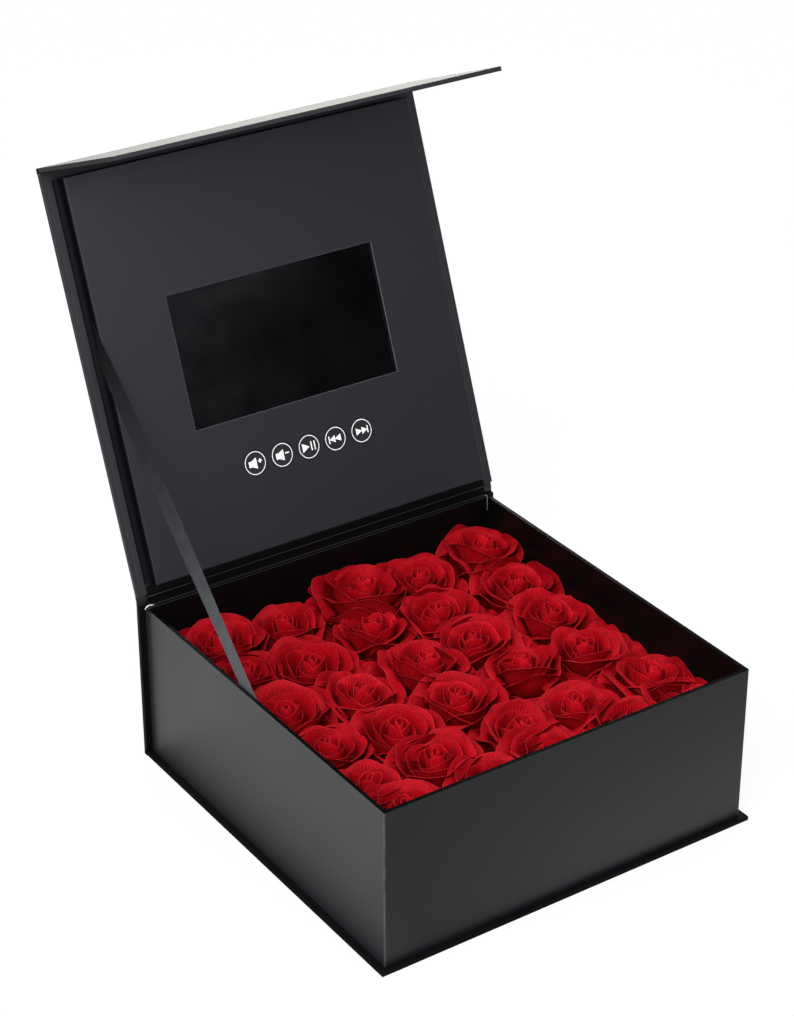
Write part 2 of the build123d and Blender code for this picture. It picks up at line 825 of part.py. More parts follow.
# ---------------------------------------------------------------- flowers
rose_top = rim_z - rose_drop
foam_top = rose_top - rose_height
foam_bottom = case_board + floor_board
with BuildPart() as flower_foam:
    with BuildSketch(Plane.XY.offset(foam_bottom)):
        Rectangle(inner_width - 2 * soft_gap, inner_depth - 2 * soft_gap)
    extrude(amount=foam_top - foam_bottom)
finish(flower_foam.part, "flower_foam")

pitch_x = inner_width / rose_columns
pitch_y = inner_depth / rose_rows
rose_radius = (min(pitch_x, pitch_y) - rose_gap) / 2

# one rose: nested rings of round petals about a bud, each ring hollowed at its throat
standing = (Align.CENTER, Align.CENTER, Align.MIN)
with BuildPart() as rose:
    for ring in range(rose_cups):
        ring_radius = rose_radius * (1 - rose_step * ring)
        ring_top = rose_height * (rose_low_rim + (1 - rose_low_rim) * ring / rose_cups)
        throat_depth = ring_top * rose_throat
        lobe = ring_radius * rose_lobe
        inner_lobe = lobe - petal_thickness
        turn = ring * 180 / rose_petals
        core = ring_radius * rose_core
        inner_core = core - petal_thickness
        Cone(core * rose_foot, core, ring_top, align=standing)
        with PolarLocations(ring_radius - lobe, rose_petals, start_angle=turn):
            Cone(lobe * rose_foot, lobe, ring_top, align=standing)
        with Locations((0, 0, ring_top - throat_depth)):
            Cone(
                inner_core * rose_foot,
                inner_core,
                throat_depth,
                align=standing,
                mode=Mode.SUBTRACT,
            )
            with PolarLocations(ring_radius - lobe, rose_petals, start_angle=turn):
                Cone(
                    inner_lobe * rose_foot,
                    inner_lobe,
                    throat_depth,
                    align=standing,
                    mode=Mode.SUBTRACT,
                )
    Cylinder(rose_radius * (1 - rose_step * rose_cups), rose_height, align=standing)

for row in range(rose_rows):
    row_y = (row - (rose_rows - 1) / 2) * pitch_y
    with BuildPart() as rose_row:
        for column in range(rose_columns):
            rose_x = (column - (rose_columns - 1) / 2) * pitch_x
            turned = Location(
                (rose_x, row_y, foam_top), (0, 0, rose_turn * (row * rose_columns + column))
            )
            add(rose.part.moved(turned))
    finish(rose_row.part, f"rose_row_{row + 1}")
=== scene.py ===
"""Flower box with a video player in its lid: the look of every piece.

Lengths are in metres: X to the right, Y towards the hinge, Z up. Sizes below are written in millimetres and brought
to metres by `mm`.
"""
from math import cos, pi, radians, sin, sqrt

import bpy
import numpy as np
from mathutils import Matrix, Vector


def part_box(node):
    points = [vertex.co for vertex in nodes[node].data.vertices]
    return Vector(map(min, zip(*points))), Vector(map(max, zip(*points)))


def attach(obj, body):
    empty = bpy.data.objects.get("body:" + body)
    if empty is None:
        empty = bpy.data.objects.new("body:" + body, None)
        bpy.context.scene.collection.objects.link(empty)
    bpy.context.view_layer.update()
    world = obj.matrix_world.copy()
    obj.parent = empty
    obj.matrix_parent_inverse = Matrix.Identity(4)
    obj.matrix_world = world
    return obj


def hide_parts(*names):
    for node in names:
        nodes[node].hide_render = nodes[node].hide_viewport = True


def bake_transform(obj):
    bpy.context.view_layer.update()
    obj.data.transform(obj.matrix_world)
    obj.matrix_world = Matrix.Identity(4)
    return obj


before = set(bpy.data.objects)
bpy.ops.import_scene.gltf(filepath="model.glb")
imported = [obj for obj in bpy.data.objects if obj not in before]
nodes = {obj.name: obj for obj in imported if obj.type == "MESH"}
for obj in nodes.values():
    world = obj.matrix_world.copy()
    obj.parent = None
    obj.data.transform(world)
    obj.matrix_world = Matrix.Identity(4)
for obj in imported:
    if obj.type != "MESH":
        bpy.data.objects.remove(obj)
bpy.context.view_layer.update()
mm = 0.001

# ---- sizes shared with the solids
tray_width, tray_depth, rim_z = 267.0 * mm, 270.0 * mm, 110.5 * mm
inner_width, inner_depth = 261.8 * mm, 264.8 * mm
case_width, lid_length = 275.8 * mm, 277.7 * mm
board, hinge_paper, liner, fold_leg = 3.0 * mm, 0.5 * mm, 0.3 * mm, 3.5 * mm
hinge_y, hinge_z = 138.3 * mm, 114.0 * mm
lean, past_square = radians(21.1), radians(0.6)
panel_near, panel_far, panel_width = 9.0 * mm, 269.1 * mm, 253.4 * mm
panel_level, window_middle = 12.4 * mm, 139.75 * mm
window_width, window_height = 154.0 * mm, 87.5 * mm
button_row, button_pitch = 65.3 * mm, 20.35 * mm
foam_top = 50.0 * mm

along_lid = np.array([0.0, sin(lean), cos(lean)])
into_lid = np.array([0.0, -cos(lean), sin(lean)])
hinge = np.array([0.0, hinge_y, hinge_z])
right_hand = np.array([1.0, 0.0, 0.0])
fold = hinge + lid_length * along_lid
along_flap = -sin(past_square) * along_lid + cos(past_square) * into_lid
into_flap = -cos(past_square) * along_lid - sin(past_square) * into_lid


def on_board(start, along_way, inward_way):
    """How to place points of a board: x to the right, then along it from its start, then inwards from its outside."""

    def place(x, along, inwards):
        x, along, inwards = np.broadcast_arrays(x, along, inwards)
        return start + x[..., None] * right_hand + along[..., None] * along_way + inwards[..., None] * inward_way

    return place


on_lid = on_board(hinge, along_lid, into_lid)
on_flap = on_board(fold, along_flap, into_flap)


# ---- camera
def set_camera():
    """Camera off the box's front left corner, looking down on it; the back axis points from the box to the lens."""
    azimuth, elevation, roll = radians(-34.104), radians(28.756), radians(-0.074)
    back = Vector((sin(azimuth) * cos(elevation), -cos(azimuth) * cos(elevation), sin(elevation)))
    level = Vector((cos(azimuth), sin(azimuth), 0.0))
    upright = back.cross(level)
    right = cos(roll) * level + sin(roll) * upright
    up = cos(roll) * upright - sin(roll) * level
    camera = bpy.data.objects.new("Camera", bpy.data.cameras.new("Camera"))
    bpy.context.scene.collection.objects.link(camera)
    turned = Matrix((right, up, back)).transposed().to_4x4()
    camera.matrix_world = Matrix.Translation((-0.80584, -1.14126, 0.96877)) @ turned
    camera.data.lens = 93.80
    camera.data.sensor_width = 36.0
    camera.data.clip_start, camera.data.clip_end = 0.05, 60.0
    bpy.context.scene.camera = camera


set_camera()
bpy.context.scene.view_settings.view_transform = "Standard"


# ---- node helpers
class Nodes:
    """Builder for one node tree. A socket takes a value, or another node's output if one is given."""

    def __init__(self, tree):
        self.tree = tree

    def add(self, kind, settings=None, **sockets):
        """Outputs of a new node with these settings and sockets. A socket is named by its label, with _ for a space, or
        by _ and its number."""
        node = self.tree.nodes.new(kind)
        for name, value in (settings or {}).items():
            setattr(node, name, value)
        for name, value in sockets.items():
            socket = node.inputs[int(name[1:])] if name[1:].isdigit() else node.inputs[name.replace("_", " ")]
            if isinstance(value, bpy.types.NodeSocket):
                self.tree.links.new(value, socket)
            else:
                socket.default_value = value
        return node.outputs

    def sums(self, operation, *terms):
        """One step of arithmetic on the terms."""
        sockets = {f"_{place}": term for place, term in enumerate(terms)}
        return self.add("ShaderNodeMath", {"operation": operation}, **sockets)[0]

    def split(self, vector):
        """The three parts of a vector."""
        return self.add("ShaderNodeSeparateXYZ", Vector=vector)

    def facing(self, way, toward):
        """How far a way points toward another: their dot product."""
        return self.add("ShaderNodeVectorMath", {"operation": "DOT_PRODUCT"}, _0=way, _1=tuple(toward))["Value"]

    def scaled(self, colour, factor):
        return self.add("ShaderNodeVectorMath", {"operation": "SCALE"}, _0=colour, Scale=factor)[0]

    def noise(self, place, scale, detail, **sockets):
        return self.add("ShaderNodeTexNoise", Vector=place, Scale=scale, Detail=detail, **sockets)["Fac"]

    def bands(self, place, way, **sockets):
        """Wave texture whose bands follow one another along one axis of its coordinates."""
        settings = {"wave_type": "BANDS", "bands_direction": way}
        return self.add("ShaderNodeTexWave", settings, Vector=place, **sockets)["Fac"]

    def bump(self, height, strength, distance, **under):
        """Normal tilted by a height field, on top of another normal if one is given."""
        return self.add("ShaderNodeBump", Height=height, Strength=strength, Distance=distance, **under)[0]

    def mix(self, factor, first, second):
        return self.add("ShaderNodeMixRGB", Fac=factor, Color1=first, Color2=second)[0]

    def shade(self, colour, *shades):
        """Colour multiplied by each shade in turn."""
        for shade in shades:
            sockets = {"Fac": 1.0, "Color1": colour, "Color2": shade}
            colour = self.add("ShaderNodeMixRGB", {"blend_type": "MULTIPLY"}, **sockets)[0]
        return colour

    def ramp(self, factor, *stops):
        """Colour ramp of (place, grey or colour) stops, driven by factor."""
        node = self.tree.nodes.new("ShaderNodeValToRGB")
        while len(node.color_ramp.elements) < len(stops):
            node.color_ramp.elements.new(0.5)
        for element, (place, colour) in zip(node.color_ramp.elements, stops):
            element.position = place
            element.color = (*colour, 1.0) if hasattr(colour, "__len__") else (colour, colour, colour, 1.0)
        self.tree.links.new(factor, node.inputs["Fac"])
        return node.outputs["Color"]

    def join(self, node, **outputs):
        """Links each output to the node's input of that name."""
        for name, output in outputs.items():
            self.tree.links.new(output, node.inputs[name.replace("_", " ")])


FLOAT, COLOUR, VECTOR = "NodeSocketFloat", "NodeSocketColor", "NodeSocketVector"


def group(name, inputs, outputs):
    """New node group with (name, type, default) inputs and (name, type) outputs: its builder, what it is given and its
    output node."""
    tree = bpy.data.node_groups.new(name, "ShaderNodeTree")
    for label, kind, default in inputs:
        socket = tree.interface.new_socket(label, in_out="INPUT", socket_type=kind)
        if default is not None:
            socket.default_value = default
    for label, kind in outputs:
        tree.interface.new_socket(label, in_out="OUTPUT", socket_type=kind)
    return Nodes(tree), tree.nodes.new("NodeGroupInput").outputs, tree.nodes.new("NodeGroupOutput")


def paper_grain_group():
    """Coated paper: cloudy tone, fine fibres pressed into the face, and a broad waviness from the glue under it."""
    made, given, out = group(
        "PaperGrain",
        [("Place", VECTOR, None), ("Ink", COLOUR, (0.01, 0.01, 0.012, 1)), ("Cloud", FLOAT, 0.25),
         ("Roughness", FLOAT, 0.42), ("Relief", FLOAT, 0.25), ("Grain", FLOAT, 2600.0)],
        [("Color", COLOUR), ("Roughness", FLOAT), ("Normal", VECTOR)],
    )
    place, relief = given["Place"], given["Relief"]
    cloud = made.noise(place, 14.0, 4.0, Roughness=0.55)
    fibre = made.noise(place, given["Grain"], 3.0, Distortion=0.8)
    speck = made.noise(place, 420.0, 2.0)
    wave = made.noise(place, 38.0, 1.0)
    tone = made.sums("MULTIPLY_ADD", cloud, given["Cloud"], 0.88)
    light = made.sums("MULTIPLY_ADD", fibre, 0.24, tone)
    patch = made.sums("MULTIPLY_ADD", speck, 0.10, given["Roughness"])
    shine = made.sums("MULTIPLY_ADD", cloud, -0.08, patch)
    rough = made.bump(fibre, relief, 0.00003)
    swell = made.bump(wave, relief, 0.0001, Normal=rough)
    made.join(out, Color=made.scaled(given["Ink"], light), Roughness=shine, Normal=swell)
    return made.tree


def moulded_grain_group():
    """Moulded or sprayed surface: fine even grain with a faint mottle in tone and shine."""
    made, given, out = group(
        "MouldedGrain",
        [("Place", VECTOR, None), ("Tone", COLOUR, (0.02, 0.02, 0.02, 1)), ("Roughness", FLOAT, 0.45),
         ("Relief", FLOAT, 0.2), ("Grain", FLOAT, 3000.0)],
        [("Color", COLOUR), ("Roughness", FLOAT), ("Normal", VECTOR)],
    )
    fine = made.noise(given["Place"], given["Grain"], 2.0)
    mottle = made.noise(given["Place"], 120.0, 4.0)
    colour = made.scaled(given["Tone"], made.sums("MULTIPLY_ADD", mottle, 0.3, 0.85))
    shine = made.sums("MULTIPLY_ADD", mottle, 0.12, given["Roughness"])
    made.join(out, Color=colour, Roughness=shine, Normal=made.bump(fine, given["Relief"], 0.00005))
    return made.tree


def open_foam_group():
    """Foam: small cells, darker in the middle than at their walls, made uneven by a cloudy noise."""
    made, given, out = group(
        "FoamCells",
        [("Place", VECTOR, None), ("Tone", COLOUR, (0.01, 0.01, 0.01, 1)), ("Cell", FLOAT, 900.0),
         ("Relief", FLOAT, 0.7)],
        [("Color", COLOUR), ("Normal", VECTOR)],
    )
    walls = {"feature": "DISTANCE_TO_EDGE"}
    cells = made.add("ShaderNodeTexVoronoi", walls, Vector=given["Place"], Scale=given["Cell"])["Distance"]
    depth = made.sums("ADD", cells, made.noise(given["Place"], 300.0, 5.0))
    colour = made.scaled(given["Tone"], made.sums("MULTIPLY_ADD", depth, -0.7, 1.5))
    made.join(out, Color=colour, Normal=made.bump(depth, given["Relief"], 0.0004))
    return made.tree


paper_grain = paper_grain_group()
moulded_grain = moulded_grain_group()
foam_cells = open_foam_group()


def start_material(name, **constants):
    """New material, its builder, its Principled shader with the constants on its own sockets, and the Object
    coordinates."""
    material = bpy.data.materials.new(name)
    material.use_nodes = True
    made = Nodes(material.node_tree)
    shader = made.tree.nodes["Principled BSDF"]
    for label, value in constants.items():
        shader.inputs[label.replace("_", " ")].default_value = value
    return material, made, shader, made.add("ShaderNodeTexCoord")["Object"]


def use_group(made, shader, kind, place, **values):
    """Places a node group in a material and joins its outputs to the shader's sockets of the same name."""
    node = made.tree.nodes.new("ShaderNodeGroup")
    node.node_tree = kind
    made.join(node, Place=place)
    for label, value in values.items():
        node.inputs[label].default_value = value
    for output in node.outputs:
        made.join(shader, **{"Base Color" if output.name == "Color" else output.name: output})
    return node


def plain(kind, name, constants, **values):
    """Material made of one node group alone."""
    material, made, shader, place = start_material(name, **constants)
    use_group(made, shader, kind, place, **values)
    return material


def paper(name, ink, roughness, relief=0.25, cloud=0.25, **constants):
    return plain(paper_grain, name, constants, Ink=(*ink, 1), Roughness=roughness, Relief=relief, Cloud=cloud)


def moulded(name, tone, roughness, relief=0.2, **constants):
    return plain(moulded_grain, name, constants, Tone=(*tone, 1), Roughness=roughness, Relief=relief)


def foam(name, tone, cell):
    return plain(foam_cells, name, {"Roughness": 0.9}, Tone=(*tone, 1), Cell=cell)


# ---- materials
case_paper = paper("case_paper", (0.0095, 0.0104, 0.0120), 0.40)
inner_paper = paper("inner_paper", (0.0100, 0.0110, 0.0135), 0.44)
# darker copy of the case paper, as painted shade on the base ledge and the spine board
ledge_paper = paper("ledge_paper", (0.0024, 0.0026, 0.0029), 0.48, cloud=0.8, Specular_IOR_Level=0.04)
panel_paper = paper("panel_paper", (0.0092, 0.0099, 0.0122), 0.32)
# lining: inked near black as painted shade for the tray's inside and the lid's fold
lining_paper = paper("lining_paper", (0.0022, 0.0021, 0.0023), 0.34, Specular_IOR_Level=0.10)
# darker copy of the panel's paper, as painted shade on the panel's sides
rail_paper = paper("rail_paper", (0.0014, 0.0015, 0.0018), 0.5, Specular_IOR_Level=0.08)
board_core = paper("board_core", (0.11, 0.10, 0.09), 0.85, relief=0.6, cloud=0.5)
# settings for the paler creases and cut edges, which stand for wear and for painted highlight
worn_and_highlit = {"relief": 0.6, "cloud": 0.9, "Specular_IOR_Level": 0.2}
# creases: paler than the lining as wear and as painted highlight on the ridges
crease_paper = paper("crease_paper", (0.016, 0.017, 0.018), 0.5, **worn_and_highlit)
# cut edge of the lid lining: paler from scuffs and as a painted edge highlight
scuffed_and_highlit_edge = paper("scuffed_paper_edge", (0.035, 0.036, 0.038), 0.5, **worn_and_highlit)
cut_paper = paper("cut_paper", (0.20, 0.20, 0.21), 0.7, relief=0.5, cloud=0.6)
raw_edge = paper("raw_paper_edge", (0.72, 0.71, 0.68), 0.8, relief=0.4, cloud=0.2)
white_ink = paper("white_ink", (0.97, 0.97, 0.97), 0.5, relief=0.1, cloud=0.04)
speaker_paper = paper("speaker_cone_paper", (0.035, 0.033, 0.031), 0.8, relief=0.8, cloud=0.6)
flower_foam = foam("black_flower_foam", (0.008, 0.008, 0.008), 1100.0)
packing_foam = foam("grey_packing_foam", (0.03, 0.03, 0.032), 600.0)
nickel = moulded("nickel_plate", (0.62, 0.60, 0.57), 0.22, relief=0.08, Metallic=1.0)
socket_steel = moulded("socket_steel", (0.55, 0.56, 0.58), 0.28, relief=0.1, Metallic=1.0)
display_housing = moulded("display_housing", (0.30, 0.31, 0.33), 0.35, relief=0.1, Metallic=1.0)
chip_black = moulded("chip_black", (0.018, 0.018, 0.019), 0.5, relief=0.35)
speaker_plastic = moulded("speaker_plastic", (0.02, 0.02, 0.021), 0.42)
lead_rubber = moulded("lead_rubber", (0.02, 0.02, 0.021), 0.55)
flex_film = moulded("flex_film", (0.42, 0.19, 0.03), 0.25, relief=0.05, Coat_Weight=0.4)


def display_glass_material():
    """Unlit display behind glass: near black with a faint blue cast, and wiping marks in the shine."""
    material, made, shader, place = start_material("display_black_glass", IOR=1.5)
    smear = made.noise(place, 26.0, 5.0, Distortion=1.5)
    colour = made.ramp(smear, (0.2, (0.0012, 0.0013, 0.0015)), (0.8, (0.0024, 0.0026, 0.003)))
    made.join(shader, Base_Color=colour, Roughness=made.ramp(smear, (0.35, 0.012), (0.75, 0.045)))
    return material


def circuit_board_material():
    """Green solder mask over copper: tracks as the thin joints of a brick pattern, gold pads as round spots."""
    material, made, shader, place = start_material("circuit_board", Coat_Weight=0.3, Roughness=0.35)
    greens = {"Color1": (0.01, 0.13, 0.05, 1), "Color2": (0.012, 0.10, 0.045, 1), "Mortar": (0.02, 0.22, 0.09, 1)}
    tracks = made.add("ShaderNodeTexBrick", Vector=place, Scale=180.0, Mortar_Size=0.06, **greens)
    pads = made.add("ShaderNodeTexVoronoi", {"feature": "F1"}, Vector=place, Scale=240.0)["Distance"]
    spot = made.ramp(pads, (0.16, 1.0), (0.19, 0.0))
    colour = made.mix(spot, tracks["Color"], (0.62, 0.42, 0.14, 1))
    made.join(shader, Base_Color=colour, Metallic=spot, Normal=made.bump(tracks["Fac"], 0.3, 0.00005))
    return material


def battery_pouch_material():
    """Foil pouch: silver with soft creases, which also change its tone and shine."""
    material, made, shader, place = start_material("battery_pouch", Metallic=1.0)
    crease = made.noise(place, 90.0, 6.0, Distortion=2.0)
    colour = made.ramp(crease, (0.3, (0.62, 0.63, 0.65)), (0.7, (0.78, 0.78, 0.77)))
    shine = made.ramp(crease, (0.3, 0.22), (0.7, 0.42))
    made.join(shader, Base_Color=colour, Roughness=shine, Normal=made.bump(crease, 0.4, 0.0003))
    return material


def ribbon_satin_material():
    """Satin ribbon: fine ribs across it and floats along it, on the ribbon's own UV (x across, y along, in mm); its
    colour is painted darker towards the lid as shade."""
    material, made, shader, _ = start_material("ribbon_satin", Specular_IOR_Level=0.12)
    lay = made.add("ShaderNodeUVMap", {"uv_map": "UVMap"})["UV"]
    ribs = made.bands(lay, "Y", Scale=0.75, Distortion=0.4)
    floats = made.bands(lay, "X", Scale=1.3, Distortion=0.6)
    run = 246.0  # mm from the rim to the lid
    # painted shade from the lid and flap: the colour darkens along the ribbon towards the lid
    painted_shade_to_lid = made.ramp(
        made.sums("MULTIPLY", made.split(lay)["Y"], 1 / run),
        (0.0, 1.0), (0.2, 0.66), (0.36, 0.39), (0.52, 0.24), (0.69, 0.14), (0.85, 0.1), (1.0, 0.08),
    )
    cloth = made.sums("MULTIPLY_ADD", ribs, 0.6, floats)
    dye = made.ramp(made.noise(lay, 0.12, 3.0), (0.3, (0.062, 0.066, 0.073)), (0.7, (0.088, 0.093, 0.102)))
    shine = made.ramp(cloth, (0.1, 0.34), (0.9, 0.5))
    made.join(shader, Base_Color=made.shade(dye, painted_shade_to_lid), Roughness=shine, Normal=made.bump(cloth, 0.35, 0.00008))
    return material


def rose_petal_material():
    """Red petal cloth: along the petal (UV y) painted deep at the foot as shade in the hollows and lighter to a pale
    rim as painted highlight, with pleats that fan from the foot (UV x) and fade towards the rim, painted darker in
    their grooves as shade, a crepe grain and soft mottling. The whole part of UV x counts the rings from the bud, and
    the inner ones are painted lighter as light on the bud, the outer ones a little darker."""
    material, made, shader, place = start_material(
        "rose_petal_cloth", Sheen_Weight=0.06, Sheen_Roughness=0.4, Sheen_Tint=(1.0, 0.04, 0.08, 1),
        Specular_IOR_Level=0.06, Roughness=0.62,
    )
    lay = made.add("ShaderNodeUVMap", {"uv_map": "UVMap"})["UV"]
    across, along, _ = made.split(lay)
    ring = made.sums("MULTIPLY", across, 1 / 7)
    # cup petals: darker towards the foot as painted shade in the hollows, pale at the rim as painted highlight
    cup = made.ramp(
        along, (0.0, (0.04, 0.0003, 0.0006)), (0.45, (0.19, 0.0009, 0.0028)), (0.70, (0.38, 0.0019, 0.0060)),
        (0.90, (0.45, 0.0029, 0.0084)), (0.965, (0.47, 0.0042, 0.0110)), (1.0, (0.55, 0.014, 0.024)),
    )
    # outer skirt petals: darker at the foot as painted shade, pale at the rim as painted highlight
    skirt = made.ramp(
        along, (0.0, (0.30, 0.0013, 0.0040)), (0.40, (0.45, 0.0021, 0.0070)), (0.75, (0.45, 0.0028, 0.0084)),
        (0.97, (0.44, 0.0032, 0.0093)), (1.0, (0.52, 0.012, 0.021)),
    )
    red = made.mix(made.ramp(ring, (0.45, 0.0), (0.62, 1.0)), cup, skirt)
    mottle = made.sums("ADD", made.noise(place, 160.0, 4.0), made.noise(place, 900.0, 2.0))
    mottle = made.ramp(made.sums("MULTIPLY", mottle, 0.5), (0.35, 0.62), (0.65, 1.2))
    fan = made.add("ShaderNodeMapping", Vector=lay, Scale=(1.0, 0.12, 1.0))[0]
    pleats = made.bands(fan, "X", Scale=8.0, Distortion=1.0, Detail=2.0)
    pleats = made.sums("MULTIPLY", pleats, made.ramp(along, (0.55, 1.0), (0.92, 0.10)))
    # painted shade in the pleats' grooves, with lighter ridges
    painted_pleat_shade = made.ramp(pleats, (0.0, 0.86), (1.0, 1.12))
    # painted light and shade by ring: the bud's rings lighter, the outer rings a little darker
    inwards = made.ramp(ring, (0.10, 1.40), (0.30, 1.20), (0.50, 1.0), (0.75, 0.88), (1.0, 0.98))
    folds = made.bump(pleats, 0.8, 0.0009)
    crepe = made.bump(made.noise(place, 1800.0, 3.0), 0.5, 0.0002, Normal=folds)
    made.join(shader, Base_Color=made.shade(red, mottle, inwards, painted_pleat_shade), Normal=crepe)
    return material


def tray_paper_material():
    """Wrap of the tray: a little darker than the case's paper, painted darker still on the rim as shade and smoother
    there, and rubbed paler in patches along the upright corners."""
    material, made, shader, place = start_material("tray_paper")
    node = use_group(made, shader, paper_grain, place, Roughness=0.42)
    x, y, z = made.split(place)
    both = made.sums("ADD", made.sums("ABSOLUTE", x), made.sums("ABSOLUTE", y))
    rub_width = 1.3 * mm
    past = made.sums("SUBTRACT", both, (tray_width + tray_depth) / 2 - rub_width)
    rubbed = made.sums("MULTIPLY", made.sums("MULTIPLY", past, 1 / rub_width), made.noise(place, 130.0, 4.0))
    rim = made.sums("GREATER_THAN", z, rim_z - 0.3 * mm)
    ink = made.ramp(rubbed, (0.05, (0.0078, 0.0085, 0.0100)), (0.35, (0.045, 0.047, 0.050)))
    # the rim's colour is painted darker as shade
    ink = made.mix(rim, ink, (0.0022, 0.0023, 0.0026, 1))
    made.join(node, Ink=ink, Roughness=made.ramp(rim, (0.0, 0.42), (1.0, 0.15)))
    return material


tray_paper = tray_paper_material()
display_glass = display_glass_material()
circuit_board = circuit_board_material()
battery_pouch = battery_pouch_material()
ribbon_satin = ribbon_satin_material()
rose_petal = rose_petal_material()

buttons = ("button_volume_up", "button_volume_down", "button_play_pause", "button_previous", "button_next")
dressed = {
    case_paper: ("lid_board", "flap_board"),
    # darker paper as painted shade
    ledge_paper: ("base_board", "spine_board", "base_hinge_strip"),
    tray_paper: ("tray_wrap",),
    board_core: ("tray_front_wall", "tray_back_wall", "tray_left_wall", "tray_right_wall"),
    # near black lining, as painted shade
    lining_paper: ("flap_liner", "tray_floor"),
    # near black, as painted shade on the panel's sides
    rail_paper: ("panel_left_rail", "panel_right_rail", "panel_back_rail", "panel_front_rail"),
    panel_paper: ("panel_face", *buttons),
    flower_foam: ("flower_foam",),
    packing_foam: ("packing_foam", "display_pad"),
    nickel: ("flap_magnets", "tray_magnets", "sensor_magnet"),
    display_glass: ("display_glass",),
    display_housing: ("display_tray",),
    circuit_board: ("main_board", "button_board"),
    chip_black: ("board_chips", "lid_sensor", "button_switches"),
    socket_steel: ("charging_socket",),
    battery_pouch: ("battery",),
    speaker_plastic: ("speaker_basket",),
    speaker_paper: ("speaker_cone",),
    flex_film: ("display_flex", "button_flex"),
    lead_rubber: ("speaker_lead", "battery_lead"),
}
for finish, names in dressed.items():
    for name in names:
        mesh = nodes[name].data
        mesh.materials.clear()
        mesh.materials.append(finish)


# ---- surfaces
def grid(across, columns, along, rows):
    """Two coordinates over a grid: one runs evenly across its columns, the other along its rows."""
    return np.meshgrid(np.linspace(*across, columns), np.linspace(*along, rows))


def round_rectangle(half_width, half_height):
    """Start and end of each side of a rectangle about the middle, one after another round it."""
    left, right, low, high = -half_width, half_width, -half_height, half_height
    corners = [(left, high), (right, high), (right, low), (left, low), (left, high)]
    return zip(corners, corners[1:])


def build(name, patches, material, spread=None):
    """Mesh of grid patches. Each patch holds rows by columns of points; every cell of four neighbours is one face.
    The UV of a point is its share of the columns and of the rows, or the patch's own array in `spread`."""
    points, faces, uvs, first = [], [], [], 0
    for index, patch in enumerate(patches):
        rows, columns = patch.shape[:2]
        corner = first + np.arange(rows - 1)[:, None] * columns + np.arange(columns - 1)
        faces.append(np.stack([corner, corner + 1, corner + columns + 1, corner + columns], -1).reshape(-1, 4))
        lay = spread[index] if spread else np.stack(grid((0, 1), columns, (0, 1), rows), -1)
        uvs.append(lay.reshape(-1, 2))
        points.append(patch.reshape(-1, 3))
        first += rows * columns
    points, faces, uvs = map(np.concatenate, (points, faces, uvs))
    mesh = bpy.data.meshes.new(name)
    mesh.vertices.add(len(points))
    mesh.vertices.foreach_set("co", points.astype(np.float32).ravel())
    mesh.loops.add(faces.size)
    mesh.loops.foreach_set("vertex_index", faces.astype(np.int32).ravel())
    mesh.polygons.add(len(faces))
    mesh.polygons.foreach_set("loop_start", np.arange(0, faces.size, 4, dtype=np.int32))
    mesh.polygons.foreach_set("use_smooth", np.ones(len(faces), bool))
    mesh.uv_layers.new(name="UVMap").data.foreach_set("uv", uvs[faces.ravel()].astype(np.float32).ravel())
    mesh.update(calc_edges=True)
    mesh.materials.append(material)
    piece = bpy.data.objects.new(name, mesh)
    bpy.context.scene.collection.objects.link(piece)
    return piece


def thicken(piece, thickness, offset=0.0):
    """Gives a sheet its thickness; its open edges are marked sharp, so that faces and cut edges shade apart."""
    mesh = piece.data
    edge_of = np.zeros(len(mesh.loops), np.int32)
    mesh.loops.foreach_get("edge_index", edge_of)
    mesh.edges.foreach_set("use_edge_sharp", np.bincount(edge_of, minlength=len(mesh.edges)) == 1)
    solid = piece.modifiers.new("Thickness", "SOLIDIFY")
    solid.thickness, solid.offset, solid.use_even_offset, solid.use_rim = thickness, offset, False, True
    return piece


# ---- roses
petal_rows, petal_cloth, skirt_cloth = 15, 0.20 * mm, 0.3 * mm


def ease(share):
    """Smooth step from 0 to 1: three squares less two cubes of the clipped share."""
    share = np.clip(share, 0, 1)
    return share * share * (3 - 2 * share)


def petal(turn, reach, outline, droop, roll, overlap, ruffle, phase, peak, columns):
    """One petal about the rose's axis, in mm. Its side view is a cubic curve by the outline's four (radius, height)
    points from foot to rim, and it spans an angle of reach to each side, which narrows to the foot by a sine. A point's
    share of the height falls towards the sides by droop, which rounds the petal, and peak draws the middle of the rim
    up to a soft point. The rim rolls outwards by a square law, more beside the tip than at it. One side stands out by
    overlap, so neighbours lap like tiles; ruffle is two sines along the rim, a long one and a short."""
    across, along = grid((-1, 1), columns, (0, 1), petal_rows)
    share = along * (1 - droop * np.abs(across) ** 2.4)
    rest = 1 - share
    curve = (rest**3, 3 * rest**2 * share, 3 * rest * share**2, share**3)
    radius, height = (sum(weight * point[way] for weight, point in zip(curve, outline)) for way in (0, 1))
    lip = np.clip((along - 0.62) / 0.38, 0, 1) ** 2 * (0.6 + 0.6 * np.abs(across) ** 1.5)
    radius = radius + roll * lip + overlap * across * (0.3 + 0.7 * along)
    height = height - 0.8 * roll * lip**1.5 + peak * (1 - np.abs(across)) ** 1.5 * along**3
    height = height + ruffle * (np.sin(3.4 * across + phase) + 0.4 * np.sin(8.5 * across + 2.1 * phase)) * along**2
    sway = 0.8 * np.sin(4.6 * across - 1.7 * phase) + 0.45 * np.sin(9.5 * across + phase)
    radius = np.maximum(radius + ruffle * sway * along**3, 0.35)
    angle = turn + across * reach * (0.45 + 0.55 * np.sin(np.minimum(along * 1.25, 1.0) * pi / 2))
    return np.stack([radius * np.cos(angle), radius * np.sin(angle), height], -1)


